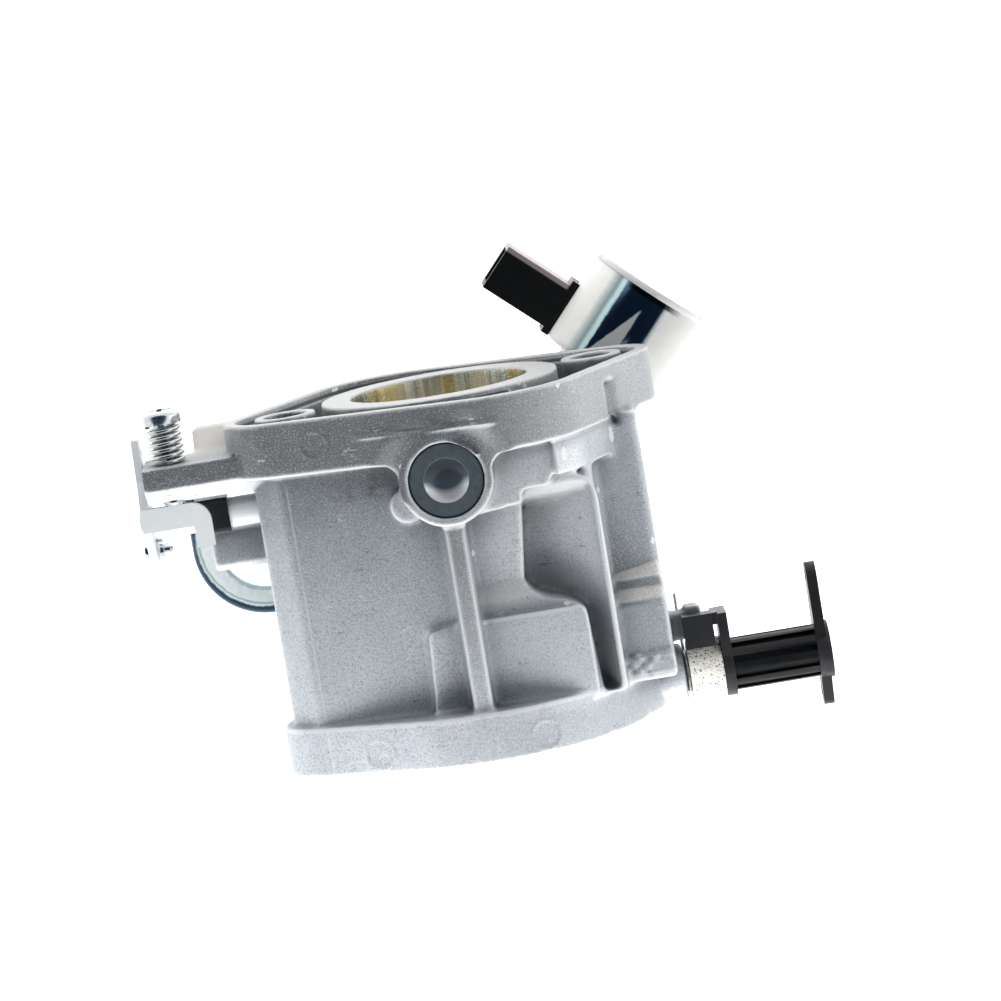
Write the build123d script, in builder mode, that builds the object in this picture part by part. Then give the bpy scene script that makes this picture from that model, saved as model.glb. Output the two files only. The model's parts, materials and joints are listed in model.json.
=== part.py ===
from build123d import *
from math import cos, radians, sin
import os

# Single-barrel side-draught carburetor for a small engine, in millimetres.
# X points to the choke-lever side, Y runs along the bore towards the engine, Z points away from
# the float bowl. The origin is on the bore axis at the sealing face of the engine flange.

# ---- driving dimensions -------------------------------------------------------------------------
BODY_LENGTH = 71.5
ENGINE_BORE_R = 17.85
THROAT_R = 14.0
AIR_BORE_R = 19.0
THROAT_Y = -43.5

BOLT_X = 31.0
BOLT_Z = 8.4
BOLT_HOLE_R = 4.25
BOLT_BOSS_R = 6.2

ENGINE_FLANGE_T = 11.0
AIR_FLANGE_T = 10.0
SEAL_RING_R = 23.8
RIM_W = 2.6
FACE_RECESS = 1.4
POCKET_RIM_W = 4.0
POCKET_DEPTH = 6.0

RIB_HALF = 1.9
RIB_TOP = 31.0
RIB_DRAFT = 1.6
LEFT_PAD_Z = 24.8
PAD_Z = 26.0
RIDGE_Z = 24.3
HOLLOW_FLOOR_Z = 15.6
BLOCK_Z = 28.5
FLAT_Z = 22.0

BODY_LEFT = -39.2
BODY_RIGHT = 37.6
BODY_FLOOR = -27.0

PLUG_X = -1.3
PLUG_Y = -15.0
PLUG_R = 7.4
PLUG_BOSS_R = 9.2
PLUG_FACE_Z = 33.0
PLUG_SEAT_DEPTH = 3.4
PLUG_SINK = 0.6

THROTTLE_Y = -18.5
THROTTLE_SHAFT_R = 3.0
THROTTLE_TILT = 10.0
LEVER_X = -62.3
LEVER_T = 1.5
LINK_PIN_Y = -23.6

SCREW_X = -55.2
SCREW_Z = 9.0
SCREW_R = 2.45
ARM_TOP_Y = -5.7
ARM_BOTTOM_Y = -13.5

CHOKE_Y = -65.5
CHOKE_SHAFT_R = 3.2
CHOKE_TILT = 8.0
BOSS_END = 39.4

RUNNING_GAP = 0.05
PLATE_T = 1.2

BOWL_HALF_X = 25.0
BOWL_FRONT_Y = -14.0
BOWL_BACK_Y = -60.5
BOWL_BOTTOM = -53.0
BOWL_WALL = 2.4
GASKET_T = 1.0
RIM_T = 3.5
DRAIN_X = -8.0
DRAIN_Y = -30.0
BOWL_SCREWS = [(-28.7, -19.0), (-28.7, -55.5), (28.7, -55.5), (28.7, -30.0)]

POST_Y = THROAT_Y
POST_R = 5.0
POST_BOTTOM = -46.0
NOZZLE_R = 2.5
PILOT_X = 3.0
PILOT_Y = -25.0
PILOT_JET_R = 1.9
MAIN_JET_R = 2.6

HINGE_Y = -55.0
HINGE_Z = -30.5
HINGE_PIN_R = 1.0
NEEDLE_Y = -50.5
SEAT_R = 3.4

INLET_Y = -40.2
INLET_Z = -20.0
TUBE_R = 2.8
TUBE_BEND_R = 12.0

SOLENOID_Z = -40.0
SOLENOID_ANGLE = 47.9
SOLENOID_R = 13.3
CAN_START = 49.3
CAN_END = 68.8
NECK_START = 34.0
HEX_START = 44.0
WASHER_T = 1.0
CONNECTOR_S = 55.8
CONNECTOR_FOOT = 11.8
CONNECTOR_END = 29.8
CONNECTOR_DROP = 3.0
TERMINAL_HALF_PITCH = 2.0

# unit direction of the solenoid axis, from the nozzle post outwards
AXIS_X = cos(radians(SOLENOID_ANGLE))
AXIS_Y = sin(radians(SOLENOID_ANGLE))

os.makedirs("parts", exist_ok=True)


# ---- helpers ------------------------------------------------------------------------------------
def across(y):
    """Sketch plane square to the bore at height y: local x = X, local y = Z."""
    return Plane(origin=(0, y, 0), x_dir=(1, 0, 0), z_dir=(0, -1, 0))


def side(x):
    """Sketch plane square to the shafts at x: local x = Y, local y = Z."""
    return Plane(origin=(x, 0, 0), x_dir=(0, 1, 0), z_dir=(1, 0, 0))


def on_solenoid(distance):
    """Sketch plane square to the solenoid axis, at a distance from the nozzle post."""
    place = (distance * AXIS_X, POST_Y + distance * AXIS_Y, SOLENOID_Z)
    return Plane(origin=place, x_dir=(0, 0, 1), z_dir=(AXIS_X, AXIS_Y, 0))


def save(piece, name):
    piece.part.label = name
    export_step(piece.part, f"parts/{name}.step")


def flange_outline(left_r, right_r, belly_r, belly_x, belly_z):
    """Rounded rhombus round the two diagonal bolt holes."""
    with BuildSketch(Plane.XY) as outline:
        with Locations((-BOLT_X, BOLT_Z)):
            Circle(left_r)
        with Locations((BOLT_X, -BOLT_Z)):
            Circle(right_r)
        with Locations((belly_x, belly_z), (-belly_x, -belly_z)):
            Circle(belly_r)
        make_hull()
    return outline.sketch


def spring(wire_r, coil_r, turns, height, start, direction):
    """Compression spring as a swept helix with its wire kept inside the height."""
    pitch = (height - 2 * wire_r) / turns
    axis = Vector(*direction).normalized()
    base = Vector(*start) + axis * wire_r
    with BuildPart() as coil:
        with BuildLine() as path:
            Helix(pitch, pitch * turns, coil_r, center=base, direction=direction)
        with BuildSketch(path.line ^ 0):
            Circle(wire_r)
        sweep(path=path.line, is_frenet=True)
    return coil


# ---- carburetor body ----------------------------------------------------------------------------
ENGINE_OUTLINE = flange_outline(12.4, 11.6, 20.0, 9.0, 15.0)
AIR_OUTLINE = flange_outline(10.4, 8.2, 32.5, 0.0, 0.0)

# space of the hollow beside the rib: a curved floor rising to the ridge, and a sloping roof
with BuildPart() as hollow:
    with BuildSketch(across(-18)):
        with BuildLine():
            Polyline((26.5, RIDGE_Z), (26.5, 40), (8, 40), (8, HOLLOW_FLOOR_Z), (13.5, HOLLOW_FLOOR_Z))
            ThreePointArc((13.5, HOLLOW_FLOOR_Z), (20.9, 18.2), (26.5, RIDGE_Z))
        make_face()
    extrude(amount=46)
    with BuildSketch(Plane.XY):
        with BuildLine():
            Polyline((21.6, -45.2), (22.6, -62.3), (26.0, -62.3), (26.2, -19), (13.0, -19), (10.6, -38.4))
            Spline((10.6, -38.4), (13.7, -41.7), (17.5, -43.0), (21.6, -45.2))
        make_face()
    extrude(amount=45, mode=Mode.INTERSECT)
    with BuildSketch(Plane.YZ):
        with BuildLine():
            Polyline(
                (-64, 10), (-64, 45), (-19.8, 45), (-19.8, 24.8),
                (-22.2, 22.2), (-24.8, HOLLOW_FLOOR_Z - 1), (-24.8, 10), close=True,
            )
        make_face()
    extrude(amount=30, mode=Mode.INTERSECT)

with BuildPart() as carburetor_body:
    # the block between the flanges, its front wall leaning out towards the middle
    with BuildSketch(across(-ENGINE_FLANGE_T + 1)) as block:
        with BuildLine():
            Polyline(
                (BODY_LEFT, BODY_FLOOR),
                (BODY_LEFT, 12),
                (-34, 17),
                (-3, 24),
                (2, FLAT_Z),
                (27, FLAT_Z),
                (27, 12),
                (BODY_RIGHT, 10),
                (BODY_RIGHT, BODY_FLOOR),
                close=True,
            )
        make_face()
        fillet(block.vertices().group_by(Axis.Z)[-1], 2)
        corners = block.vertices().filter_by(lambda v: v.X < -33 and v.Z > 0)
        fillet(corners, 4)
    extrude(amount=BODY_LENGTH - ENGINE_FLANGE_T - AIR_FLANGE_T + 2)

    # the two flanges
    with BuildSketch(across(0)):
        add(ENGINE_OUTLINE)
    extrude(amount=ENGINE_FLANGE_T)
    with BuildSketch(across(-BODY_LENGTH + AIR_FLANGE_T)):
        add(AIR_OUTLINE)
    extrude(amount=AIR_FLANGE_T)

    # recess between the sealing ring, the bolt bosses and the rim, with a deep pocket at each end
    with BuildSketch(across(0)):
        add(ENGINE_OUTLINE)
        offset(amount=-RIM_W, mode=Mode.REPLACE)
        Circle(SEAL_RING_R, mode=Mode.SUBTRACT)
        with Locations((-BOLT_X, BOLT_Z), (BOLT_X, -BOLT_Z)):
            Circle(BOLT_BOSS_R, mode=Mode.SUBTRACT)
    extrude(amount=FACE_RECESS, mode=Mode.SUBTRACT)
    with BuildSketch(across(0)):
        add(ENGINE_OUTLINE)
        offset(amount=-POCKET_RIM_W, mode=Mode.REPLACE)
        Circle(SEAL_RING_R, mode=Mode.SUBTRACT)
        with Locations((-BOLT_X, BOLT_Z), (BOLT_X, -BOLT_Z)):
            Circle(BOLT_BOSS_R, mode=Mode.SUBTRACT)
        Rectangle(2 * 14, 90, mode=Mode.SUBTRACT)
    extrude(amount=POCKET_DEPTH, mode=Mode.SUBTRACT)

    # shelf under the right end of the engine flange, set back a little from its rim
    with BuildSketch(across(-ENGINE_FLANGE_T)):
        add(ENGINE_OUTLINE)
        offset(amount=-1.5, mode=Mode.REPLACE)
        with Locations((27.75, 14)):
            Rectangle(15.5, 36, mode=Mode.INTERSECT)
    extrude(amount=7)

    # plug boss with a curved web on each side running up into the flange
    with BuildSketch(Plane.XY):
        with Locations((PLUG_X, PLUG_Y)):
            Circle(PLUG_BOSS_R)
        with BuildLine():
            web_right = ThreePointArc((12.0, -10.8), (9.0, -12.0), (7.7, -16.5))
            Polyline(web_right @ 1, (0, -12), (0, -6), (12.0, -6), web_right @ 0)
        make_face()
    extrude(amount=PLUG_FACE_Z)
    with BuildSketch(Plane.XY):
        with BuildLine():
            web_left = ThreePointArc((-14.2, -9.8), (-11.4, -11.6), (-10.2, -17))
            Polyline(web_left @ 1, (-3, -12), (-3, -6), (-12.4, -6), web_left @ 0)
        make_face()
    extrude(amount=BLOCK_Z)
    # low gusset against the boss's left side
    with BuildSketch(Plane.XY):
        with Locations((-9.5, -19.6)):
            Circle(3.6)
    extrude(amount=26)

    # spine rib with drafted sides, from the boss to the air flange
    with BuildSketch(across(PLUG_Y)):
        with BuildLine():
            Polyline(
                (PLUG_X - RIB_HALF, RIB_TOP), (PLUG_X + RIB_HALF, RIB_TOP),
                (PLUG_X + RIB_HALF + RIB_DRAFT, 0), (PLUG_X - RIB_HALF - RIB_DRAFT, 0), close=True,
            )
        make_face()
    extrude(amount=BODY_LENGTH - 5 + PLUG_Y)
    # neck where the rib widens into the boss
    with BuildSketch(Plane.XY):
        with BuildLine():
            Polyline(
                (-7, -21), (-4.6, -22.9), (-3.5, -24.4), (-3.1, -27),
                (0.5, -27), (0.8, -24.7), (1.7, -23.4), (4.4, -21.3), close=True,
            )
        make_face()
    extrude(amount=RIB_TOP)

    # raised block beside the boss
    with BuildSketch(Plane.XY) as block_outline:
        with BuildLine():
            Polyline((2, -5), (20.4, -5), (20.4, -16), (16.6, -22), (2, -23.5), close=True)
        make_face()
        fillet(block_outline.vertices().sort_by(Axis.X)[-1], 2)
    extrude(amount=BLOCK_Z)

    # bevelled pad under the left side of the rib
    with BuildSketch(Plane.XY):
        with BuildLine():
            Polyline((-9.8, -45.4), (-2, -43.9), (-2, -63), (-10.9, -63), close=True)
        make_face()
    extrude(amount=LEFT_PAD_Z)

    # lower pad to the right of the rib, proud of the flat, with a sloping ramp above it
    with BuildSketch(Plane.YZ.offset(0.5)):
        with BuildLine():
            Polyline((-63, 10), (-63, PAD_Z), (-44.6, PAD_Z), (-37.4, 21.6), (-37.4, 10), close=True)
        make_face()
    extrude(amount=21.3)
    # ridge with a hooked upper end, and the hollow between it and the rib
    with BuildSketch(Plane.XY):
        with BuildLine():
            Polyline(
                (16.6, -16), (20.9, -17.6), (23.8, -18.8), (26.2, -20.6), (27.3, -24),
                (27.3, -63), (20, -63), (20, -26), (16.6, -24), close=True,
            )
        make_face()
    extrude(amount=RIDGE_Z)
    add(hollow.part, mode=Mode.SUBTRACT)
    # stepped wall to the right of the ridge
    with BuildSketch(Plane.YZ.offset(26)):
        with BuildLine():
            Polyline(
                (-63, 0), (-63, 17.5), (-58.5, 17.5), (-57.5, 16), (-47, 15.5),
                (-45, 13), (-43, 13), (-40.5, 10), (-40.5, 0), close=True,
            )
        make_face()
    extrude(amount=BODY_RIGHT - 26)

    # choke shaft boss and the cast stop beside it
    with BuildSketch(side(BOSS_END - 8.9)):
        with Locations((CHOKE_Y, 0)):
            Circle(5.9)
    extrude(amount=8.9)
    with BuildSketch(side(BODY_RIGHT - 2)):
        with Locations((-55.5, 2.2)):
            Rectangle(5.8, 4)
    extrude(amount=44.3 - BODY_RIGHT + 2)
    with BuildSketch(side(41)):
        with Locations((-52.4, 2.2)):
            Rectangle(1.6, 4)
    extrude(amount=3.3)

    # idle-screw arm with its bevelled underside, the block behind it and the lower lug
    with BuildSketch(side(-60.5)):
        with BuildLine():
            Polyline((ARM_TOP_Y, -2), (ARM_TOP_Y, 16), (-10.2, 16), (ARM_BOTTOM_Y, 11),
                     (ARM_BOTTOM_Y, -2), close=True)
        make_face()
    extrude(amount=24)
    with BuildSketch(side(-50.5)):
        with BuildLine():
            Polyline((-10.7, -9), (-10.7, -1), (-6.2, -1), (-1.3, -6), (-1.3, -9), close=True)
        make_face()
    extrude(amount=14)
    with BuildSketch(side(-50.4)):
        with BuildLine():
            Polyline((-22.6, -13), (-22.6, -5.8), (-23.6, -4.7), (-29.8, -4.7), (-31, -7), (-31, -13),
                     close=True)
        make_face()
    extrude(amount=14)

    # nozzle post, float hinge pillars and pilot-jet boss under the floor
    with BuildSketch(Plane.XY.offset(BODY_FLOOR)):
        with Locations((0, POST_Y)):
            Circle(POST_R)
    extrude(amount=BODY_FLOOR * -1 + POST_BOTTOM)
    with BuildSketch(Plane.XY.offset(BODY_FLOOR)):
        with Locations((-9, HINGE_Y), (9, HINGE_Y)):
            Rectangle(3, 5)
    extrude(amount=-6)
    with BuildSketch(Plane.XY.offset(BODY_FLOOR)):
        with Locations((PILOT_X, PILOT_Y)):
            Circle(3.6)
    extrude(amount=-4)

    # bore: engine side, throat, air side with a bell mouth
    with BuildSketch(Plane.XY):
        with BuildLine():
            Line((ENGINE_BORE_R, 1), (ENGINE_BORE_R, -31))
            Spline(
                (ENGINE_BORE_R, -31), (THROAT_R, THROAT_Y), (AIR_BORE_R, -55),
                tangents=[(0, -1), (0, -1), (0, -1)],
            )
            wall_air = Line((AIR_BORE_R, -55), (AIR_BORE_R, -BODY_LENGTH + 2))
            mouth = Line(wall_air @ 1, (AIR_BORE_R + 3, -BODY_LENGTH - 1))
            Polyline(mouth @ 1, (0, -BODY_LENGTH - 1), (0, 1), (ENGINE_BORE_R, 1))
        make_face()
    revolve(axis=Axis.Y, mode=Mode.SUBTRACT)

    # two long bolt tunnels through both flanges
    with BuildSketch(across(1)):
        with Locations((-BOLT_X, BOLT_Z), (BOLT_X, -BOLT_Z)):
            Circle(BOLT_HOLE_R)
    extrude(amount=BODY_LENGTH + 2, mode=Mode.SUBTRACT)

    # shaft holes: throttle from the left, choke from the right, both ending blind
    with BuildSketch(side(BODY_LEFT - 1)):
        with Locations((THROTTLE_Y, 0)):
            Circle(THROTTLE_SHAFT_R + RUNNING_GAP)
    extrude(amount=28.5 - BODY_LEFT, mode=Mode.SUBTRACT)
    with BuildSketch(side(BODY_LEFT - 1)):
        with Locations((THROTTLE_Y, 0)):
            Circle(4.6)
    extrude(amount=4, mode=Mode.SUBTRACT)
    with BuildSketch(side(BOSS_END + 1)):
        with Locations((CHOKE_Y, 0)):
            Circle(CHOKE_SHAFT_R + RUNNING_GAP)
    extrude(amount=-(BOSS_END + 1 + 25.5), mode=Mode.SUBTRACT)

    # plug seat and the chamber under it
    with BuildSketch(Plane.XY.offset(PLUG_FACE_Z - PLUG_SEAT_DEPTH)):
        with Locations((PLUG_X, PLUG_Y)):
            Circle(PLUG_R)
    extrude(amount=PLUG_SEAT_DEPTH + 4, mode=Mode.SUBTRACT)
    with BuildSketch(Plane.XY.offset(PLUG_FACE_Z)):
        with Locations((PLUG_X, PLUG_Y)):
            Circle(PLUG_R - 1.3)
    extrude(amount=-8, mode=Mode.SUBTRACT)

    # idle-screw hole
    with BuildSketch(Plane.XZ.offset(-ARM_TOP_Y - 1)):
        with Locations((SCREW_X, SCREW_Z)):
            Circle(SCREW_R + RUNNING_GAP)
    extrude(amount=12, mode=Mode.SUBTRACT)

    # fuel inlet, nozzle, jets, needle seat, hinge pin and bowl screw holes
    with BuildSketch(side(BODY_LEFT - 1)):
        with Locations((INLET_Y, INLET_Z)):
            Circle(TUBE_R)
    extrude(amount=8, mode=Mode.SUBTRACT)
    with BuildSketch(Plane.XY.offset(POST_BOTTOM)):
        with Locations((0, POST_Y)):
            Circle(NOZZLE_R)
    extrude(amount=-POST_BOTTOM - 10, mode=Mode.SUBTRACT)
    with BuildSketch(on_solenoid(2)):
        Circle(MAIN_JET_R)
    extrude(amount=8, mode=Mode.SUBTRACT)
    with BuildSketch(Plane.XY.offset(-32)):
        with Locations((PILOT_X, PILOT_Y)):
            Circle(PILOT_JET_R)
    extrude(amount=8, mode=Mode.SUBTRACT)
    with BuildSketch(Plane.XY.offset(BODY_FLOOR - 2)):
        with Locations((0, NEEDLE_Y)):
            Circle(SEAT_R)
    extrude(amount=6, mode=Mode.SUBTRACT)
    with BuildSketch(side(-12)):
        with Locations((HINGE_Y, HINGE_Z)):
            Circle(HINGE_PIN_R)
    extrude(amount=24, mode=Mode.SUBTRACT)
    with BuildSketch(Plane.XY.offset(BODY_FLOOR)):
        with Locations(*BOWL_SCREWS):
            Circle(2.0)
    extrude(amount=9, mode=Mode.SUBTRACT)
save(carburetor_body, "carburetor_body")

# ---- expansion plug -----------------------------------------------------------------------------
# round dimple left by the punch that spread the plug in its seat
DIMPLE_R = 4.4
DIMPLE_DEPTH = 1.4
DIMPLE_SPHERE_R = (DIMPLE_R ** 2 + DIMPLE_DEPTH ** 2) / (2 * DIMPLE_DEPTH)
with BuildPart() as expansion_plug:
    with BuildSketch(Plane.XY.offset(PLUG_FACE_Z - PLUG_SEAT_DEPTH)):
        with Locations((PLUG_X, PLUG_Y)):
            Circle(PLUG_R)
    extrude(amount=PLUG_SEAT_DEPTH - PLUG_SINK)
    with Locations((PLUG_X, PLUG_Y, PLUG_FACE_Z - PLUG_SINK - DIMPLE_DEPTH + DIMPLE_SPHERE_R)):
        Sphere(DIMPLE_SPHERE_R, mode=Mode.SUBTRACT)
save(expansion_plug, "expansion_plug")

# ---- throttle -----------------------------------------------------------------------------------
THROTTLE_PLANE = Plane(
    origin=(0, THROTTLE_Y, 0),
    x_dir=(1, 0, 0),
    z_dir=(0, cos(radians(THROTTLE_TILT)), sin(radians(THROTTLE_TILT))),
)
CHOKE_PLANE = Plane(
    origin=(0, CHOKE_Y, 0),
    x_dir=(1, 0, 0),
    z_dir=(0, cos(radians(CHOKE_TILT)), sin(radians(CHOKE_TILT))),
)

with BuildPart() as throttle_shaft:
    with BuildSketch(side(LEVER_X - 0.9)):
        with Locations((THROTTLE_Y, 0)):
            Circle(THROTTLE_SHAFT_R)
    extrude(amount=27 - LEVER_X + 0.9)
    with BuildSketch(THROTTLE_PLANE):
        Rectangle(2 * ENGINE_BORE_R - 0.5, 20)
    extrude(amount=PLATE_T / 2, both=True, mode=Mode.SUBTRACT)
    with BuildSketch(THROTTLE_PLANE):
        with Locations((-8, 0), (8, 0)):
            Circle(1.2)
    extrude(amount=8, both=True, mode=Mode.SUBTRACT)
save(throttle_shaft, "throttle_shaft")

with BuildPart() as throttle_plate:
    with BuildSketch(THROTTLE_PLANE):
        Rectangle(2 * ENGINE_BORE_R - 0.5, 44)
        with Locations((-8, 0), (8, 0)):
            Circle(1.2, mode=Mode.SUBTRACT)
    extrude(amount=PLATE_T / 2, both=True)
    with BuildSketch(across(5)):
        Circle(ENGINE_BORE_R - 0.25)
    extrude(amount=50, mode=Mode.INTERSECT)
save(throttle_plate, "throttle_plate")

with BuildPart() as throttle_plate_screws:
    with BuildSketch(THROTTLE_PLANE):
        with Locations((-8, 0), (8, 0)):
            Circle(1.2)
    extrude(amount=3.2, both=True)
    with BuildSketch(THROTTLE_PLANE.offset(THROTTLE_SHAFT_R)):
        with Locations((-8, 0), (8, 0)):
            Circle(2.2)
    extrude(amount=1.4)
    with BuildSketch(THROTTLE_PLANE.offset(THROTTLE_SHAFT_R + 1.4)):
        with Locations((-8, 0), (8, 0)):
            Rectangle(5, 0.6)
    extrude(amount=-0.6, mode=Mode.SUBTRACT)
save(throttle_plate_screws, "throttle_plate_screws")

with BuildPart() as throttle_shaft_seal:
    with BuildSketch(side(BODY_LEFT)):
        with Locations((THROTTLE_Y, 0)):
            Circle(4.55)
            Circle(THROTTLE_SHAFT_R + RUNNING_GAP, mode=Mode.SUBTRACT)
    extrude(amount=2.6)
save(throttle_shaft_seal, "throttle_shaft_seal")

with BuildPart() as throttle_bush:
    with BuildSketch(side(-52)):
        with Locations((THROTTLE_Y, 0)):
            RectangleRounded(7.0, 7.0, 1.2)
            Circle(THROTTLE_SHAFT_R, mode=Mode.SUBTRACT)
    extrude(amount=6.6)
save(throttle_bush, "throttle_bush")

TAB_TOP_Y = ARM_BOTTOM_Y - 0.6
with BuildPart() as throttle_lever:
    with BuildSketch(side(LEVER_X)) as blade:
        with BuildLine():
            Polyline(
                (-0.6, -2), (-0.6, 2.5), (-9, 6), (TAB_TOP_Y, SCREW_Z + LEVER_T / 2),
                (-18.8, SCREW_Z + LEVER_T / 2), (-26.2, 3), (-26.2, -3), (-20, -8), (-14, -7), close=True,
            )
        make_face()
        fillet(blade.vertices(), 1.0)
        with Locations((THROTTLE_Y, 0)):
            Circle(THROTTLE_SHAFT_R, mode=Mode.SUBTRACT)
        with Locations((-4, 0.5), (LINK_PIN_Y, 0)):
            Circle(1.1, mode=Mode.SUBTRACT)
    extrude(amount=LEVER_T)
    with BuildSketch(Plane.XY.offset(SCREW_Z - LEVER_T / 2)):
        with BuildLine():
            top = Line((LEVER_X, TAB_TOP_Y), (-52.6, TAB_TOP_Y))
            corner = TangentArc(top @ 1, (-48.6, TAB_TOP_Y - 4), tangent=(1, 0))
            Polyline(corner @ 1, (-48.6, -23.2), (-52.2, -23.2), (-52.2, -18.8),
                     (LEVER_X, -18.8), (LEVER_X, TAB_TOP_Y))
        make_face()
    extrude(amount=LEVER_T)
save(throttle_lever, "throttle_lever")

with BuildPart() as link_pin:
    with BuildSketch(side(LEVER_X - 1.0)):
        with Locations((LINK_PIN_Y, 0)):
            Circle(1.7)
    extrude(amount=1.0)
    with BuildSketch(side(LEVER_X)):
        with Locations((LINK_PIN_Y, 0)):
            Circle(1.1)
    extrude(amount=4.6)
    chamfer(link_pin.faces().sort_by(Axis.X)[-1].edges(), 0.6)
save(link_pin, "link_pin")

with BuildPart() as link_pin_washer:
    with BuildSketch(side(LEVER_X + LEVER_T)):
        with Locations((LINK_PIN_Y, 0)):
            Circle(2.0)
            Circle(1.1, mode=Mode.SUBTRACT)
    extrude(amount=1.4)
save(link_pin_washer, "link_pin_washer")

# ---- idle-speed screw ---------------------------------------------------------------------------
HEAD_UNDER = 2.4
with BuildPart() as idle_speed_screw:
    with BuildSketch(Plane.XZ.offset(-TAB_TOP_Y - 0.1)):
        with Locations((SCREW_X, SCREW_Z)):
            Circle(SCREW_R)
    extrude(amount=-(HEAD_UNDER - TAB_TOP_Y - 0.1))
    with BuildSketch(Plane.XZ.offset(-HEAD_UNDER)):
        with Locations((SCREW_X, SCREW_Z)):
            Circle(4.1)
    extrude(amount=-2.6)
    fillet(idle_speed_screw.faces().sort_by(Axis.Y)[-1].edges(), 1.2)
    with BuildSketch(Plane.XZ.offset(-HEAD_UNDER - 2.6)):
        with Locations((SCREW_X, SCREW_Z)):
            Rectangle(4.6, 1.0)
            Rectangle(1.0, 4.6)
    extrude(amount=1.5, mode=Mode.SUBTRACT)
    chamfer(idle_speed_screw.faces().sort_by(Axis.Y)[0].edges(), 0.7)
save(idle_speed_screw, "idle_speed_screw")

idle_speed_spring = spring(0.46, 3.2, 5.7, HEAD_UNDER - ARM_TOP_Y,
                           (SCREW_X, ARM_TOP_Y, SCREW_Z), (0, 1, 0))
save(idle_speed_spring, "idle_speed_spring")

# ---- choke --------------------------------------------------------------------------------------
FLANGE_X = 47.2
GRIP_END = 66.2
GRIP_R = 5.3
FLUTES = 10
with BuildPart() as choke_shaft:
    with BuildSketch(side(-25)):
        with Locations((CHOKE_Y, 0)):
            Circle(CHOKE_SHAFT_R)
    extrude(amount=FLANGE_X + 25)
    # thin flange, then the fluted grip
    with BuildSketch(side(FLANGE_X)):
        with Locations((CHOKE_Y, 0)):
            Circle(6.2)
        with Locations((CHOKE_Y + 5, 1)):
            Rectangle(13, 9)
    extrude(amount=2)
    with BuildSketch(side(FLANGE_X + 2)):
        with Locations((CHOKE_Y, 0)):
            Circle(GRIP_R)
            with PolarLocations(GRIP_R, FLUTES):
                Rectangle(1.8, 1.5, mode=Mode.SUBTRACT)
    extrude(amount=GRIP_END - FLANGE_X - 2)
    # stop block held off the flange's upper edge, clear of the foam ring
    with BuildSketch(side(40.2)):
        with Locations((-56.4, 6.8)):
            Rectangle(6.6, 4)
    extrude(amount=5.9)
    with BuildSketch(side(46)):
        with Locations((-54.3, 5.5)):
            Rectangle(2.4, 6.5)
    extrude(amount=1.3)
    # end lever with an upper and a lower arm
    with BuildSketch(side(GRIP_END)):
        with Locations((CHOKE_Y, 0)):
            Circle(5.8)
    extrude(amount=2.8)
    with BuildSketch(side(GRIP_END)):
        with Locations((CHOKE_Y, 0)):
            Circle(5.0)
        with Locations((-50.0, 1.5)):
            Circle(2.8)
        make_hull()
        with Locations((-50.0, 1.5)):
            Circle(1.2, mode=Mode.SUBTRACT)
    extrude(amount=2.1)
    with BuildSketch(side(GRIP_END)):
        with Locations((CHOKE_Y, 0)):
            Circle(4.6)
        with Locations((-74.6, -2.5)):
            Circle(2.6)
        make_hull()
        with Locations((-74.6, -2.5)):
            Circle(1.1, mode=Mode.SUBTRACT)
    extrude(amount=2.1)
    with BuildSketch(CHOKE_PLANE):
        Rectangle(2 * AIR_BORE_R - 0.5, 20)
    extrude(amount=PLATE_T / 2, both=True, mode=Mode.SUBTRACT)
save(choke_shaft, "choke_shaft")

with BuildPart() as choke_plate:
    with BuildSketch(CHOKE_PLANE):
        Rectangle(2 * AIR_BORE_R - 0.5, 46)
        with Locations((0, 10)):
            Circle(2.0, mode=Mode.SUBTRACT)
    extrude(amount=PLATE_T / 2, both=True)
    with BuildSketch(across(-40)):
        Circle(AIR_BORE_R - 0.25)
    extrude(amount=50, mode=Mode.INTERSECT)
save(choke_plate, "choke_plate")

with BuildPart() as choke_foam_seal:
    with BuildSketch(side(BOSS_END + 0.9)):
        with Locations((CHOKE_Y, 0)):
            Circle(6.1)
            Circle(CHOKE_SHAFT_R + RUNNING_GAP, mode=Mode.SUBTRACT)
    extrude(amount=FLANGE_X - BOSS_END - 1.0)
save(choke_foam_seal, "choke_foam_seal")

SPRING_WIRE_R = 0.35
with BuildPart() as choke_return_spring:
    with BuildLine(side(BOSS_END + 0.45)) as choke_wire:
        Line((CHOKE_Y + 15.5, -3.9), (CHOKE_Y, -3.9))
        CenterArc((CHOKE_Y, 0), 3.9, 270, -300)
    with BuildSketch(Plane(origin=choke_wire.line @ 0, z_dir=choke_wire.line % 0)):
        Circle(SPRING_WIRE_R)
    sweep(path=choke_wire.line)
save(choke_return_spring, "choke_return_spring")

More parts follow.
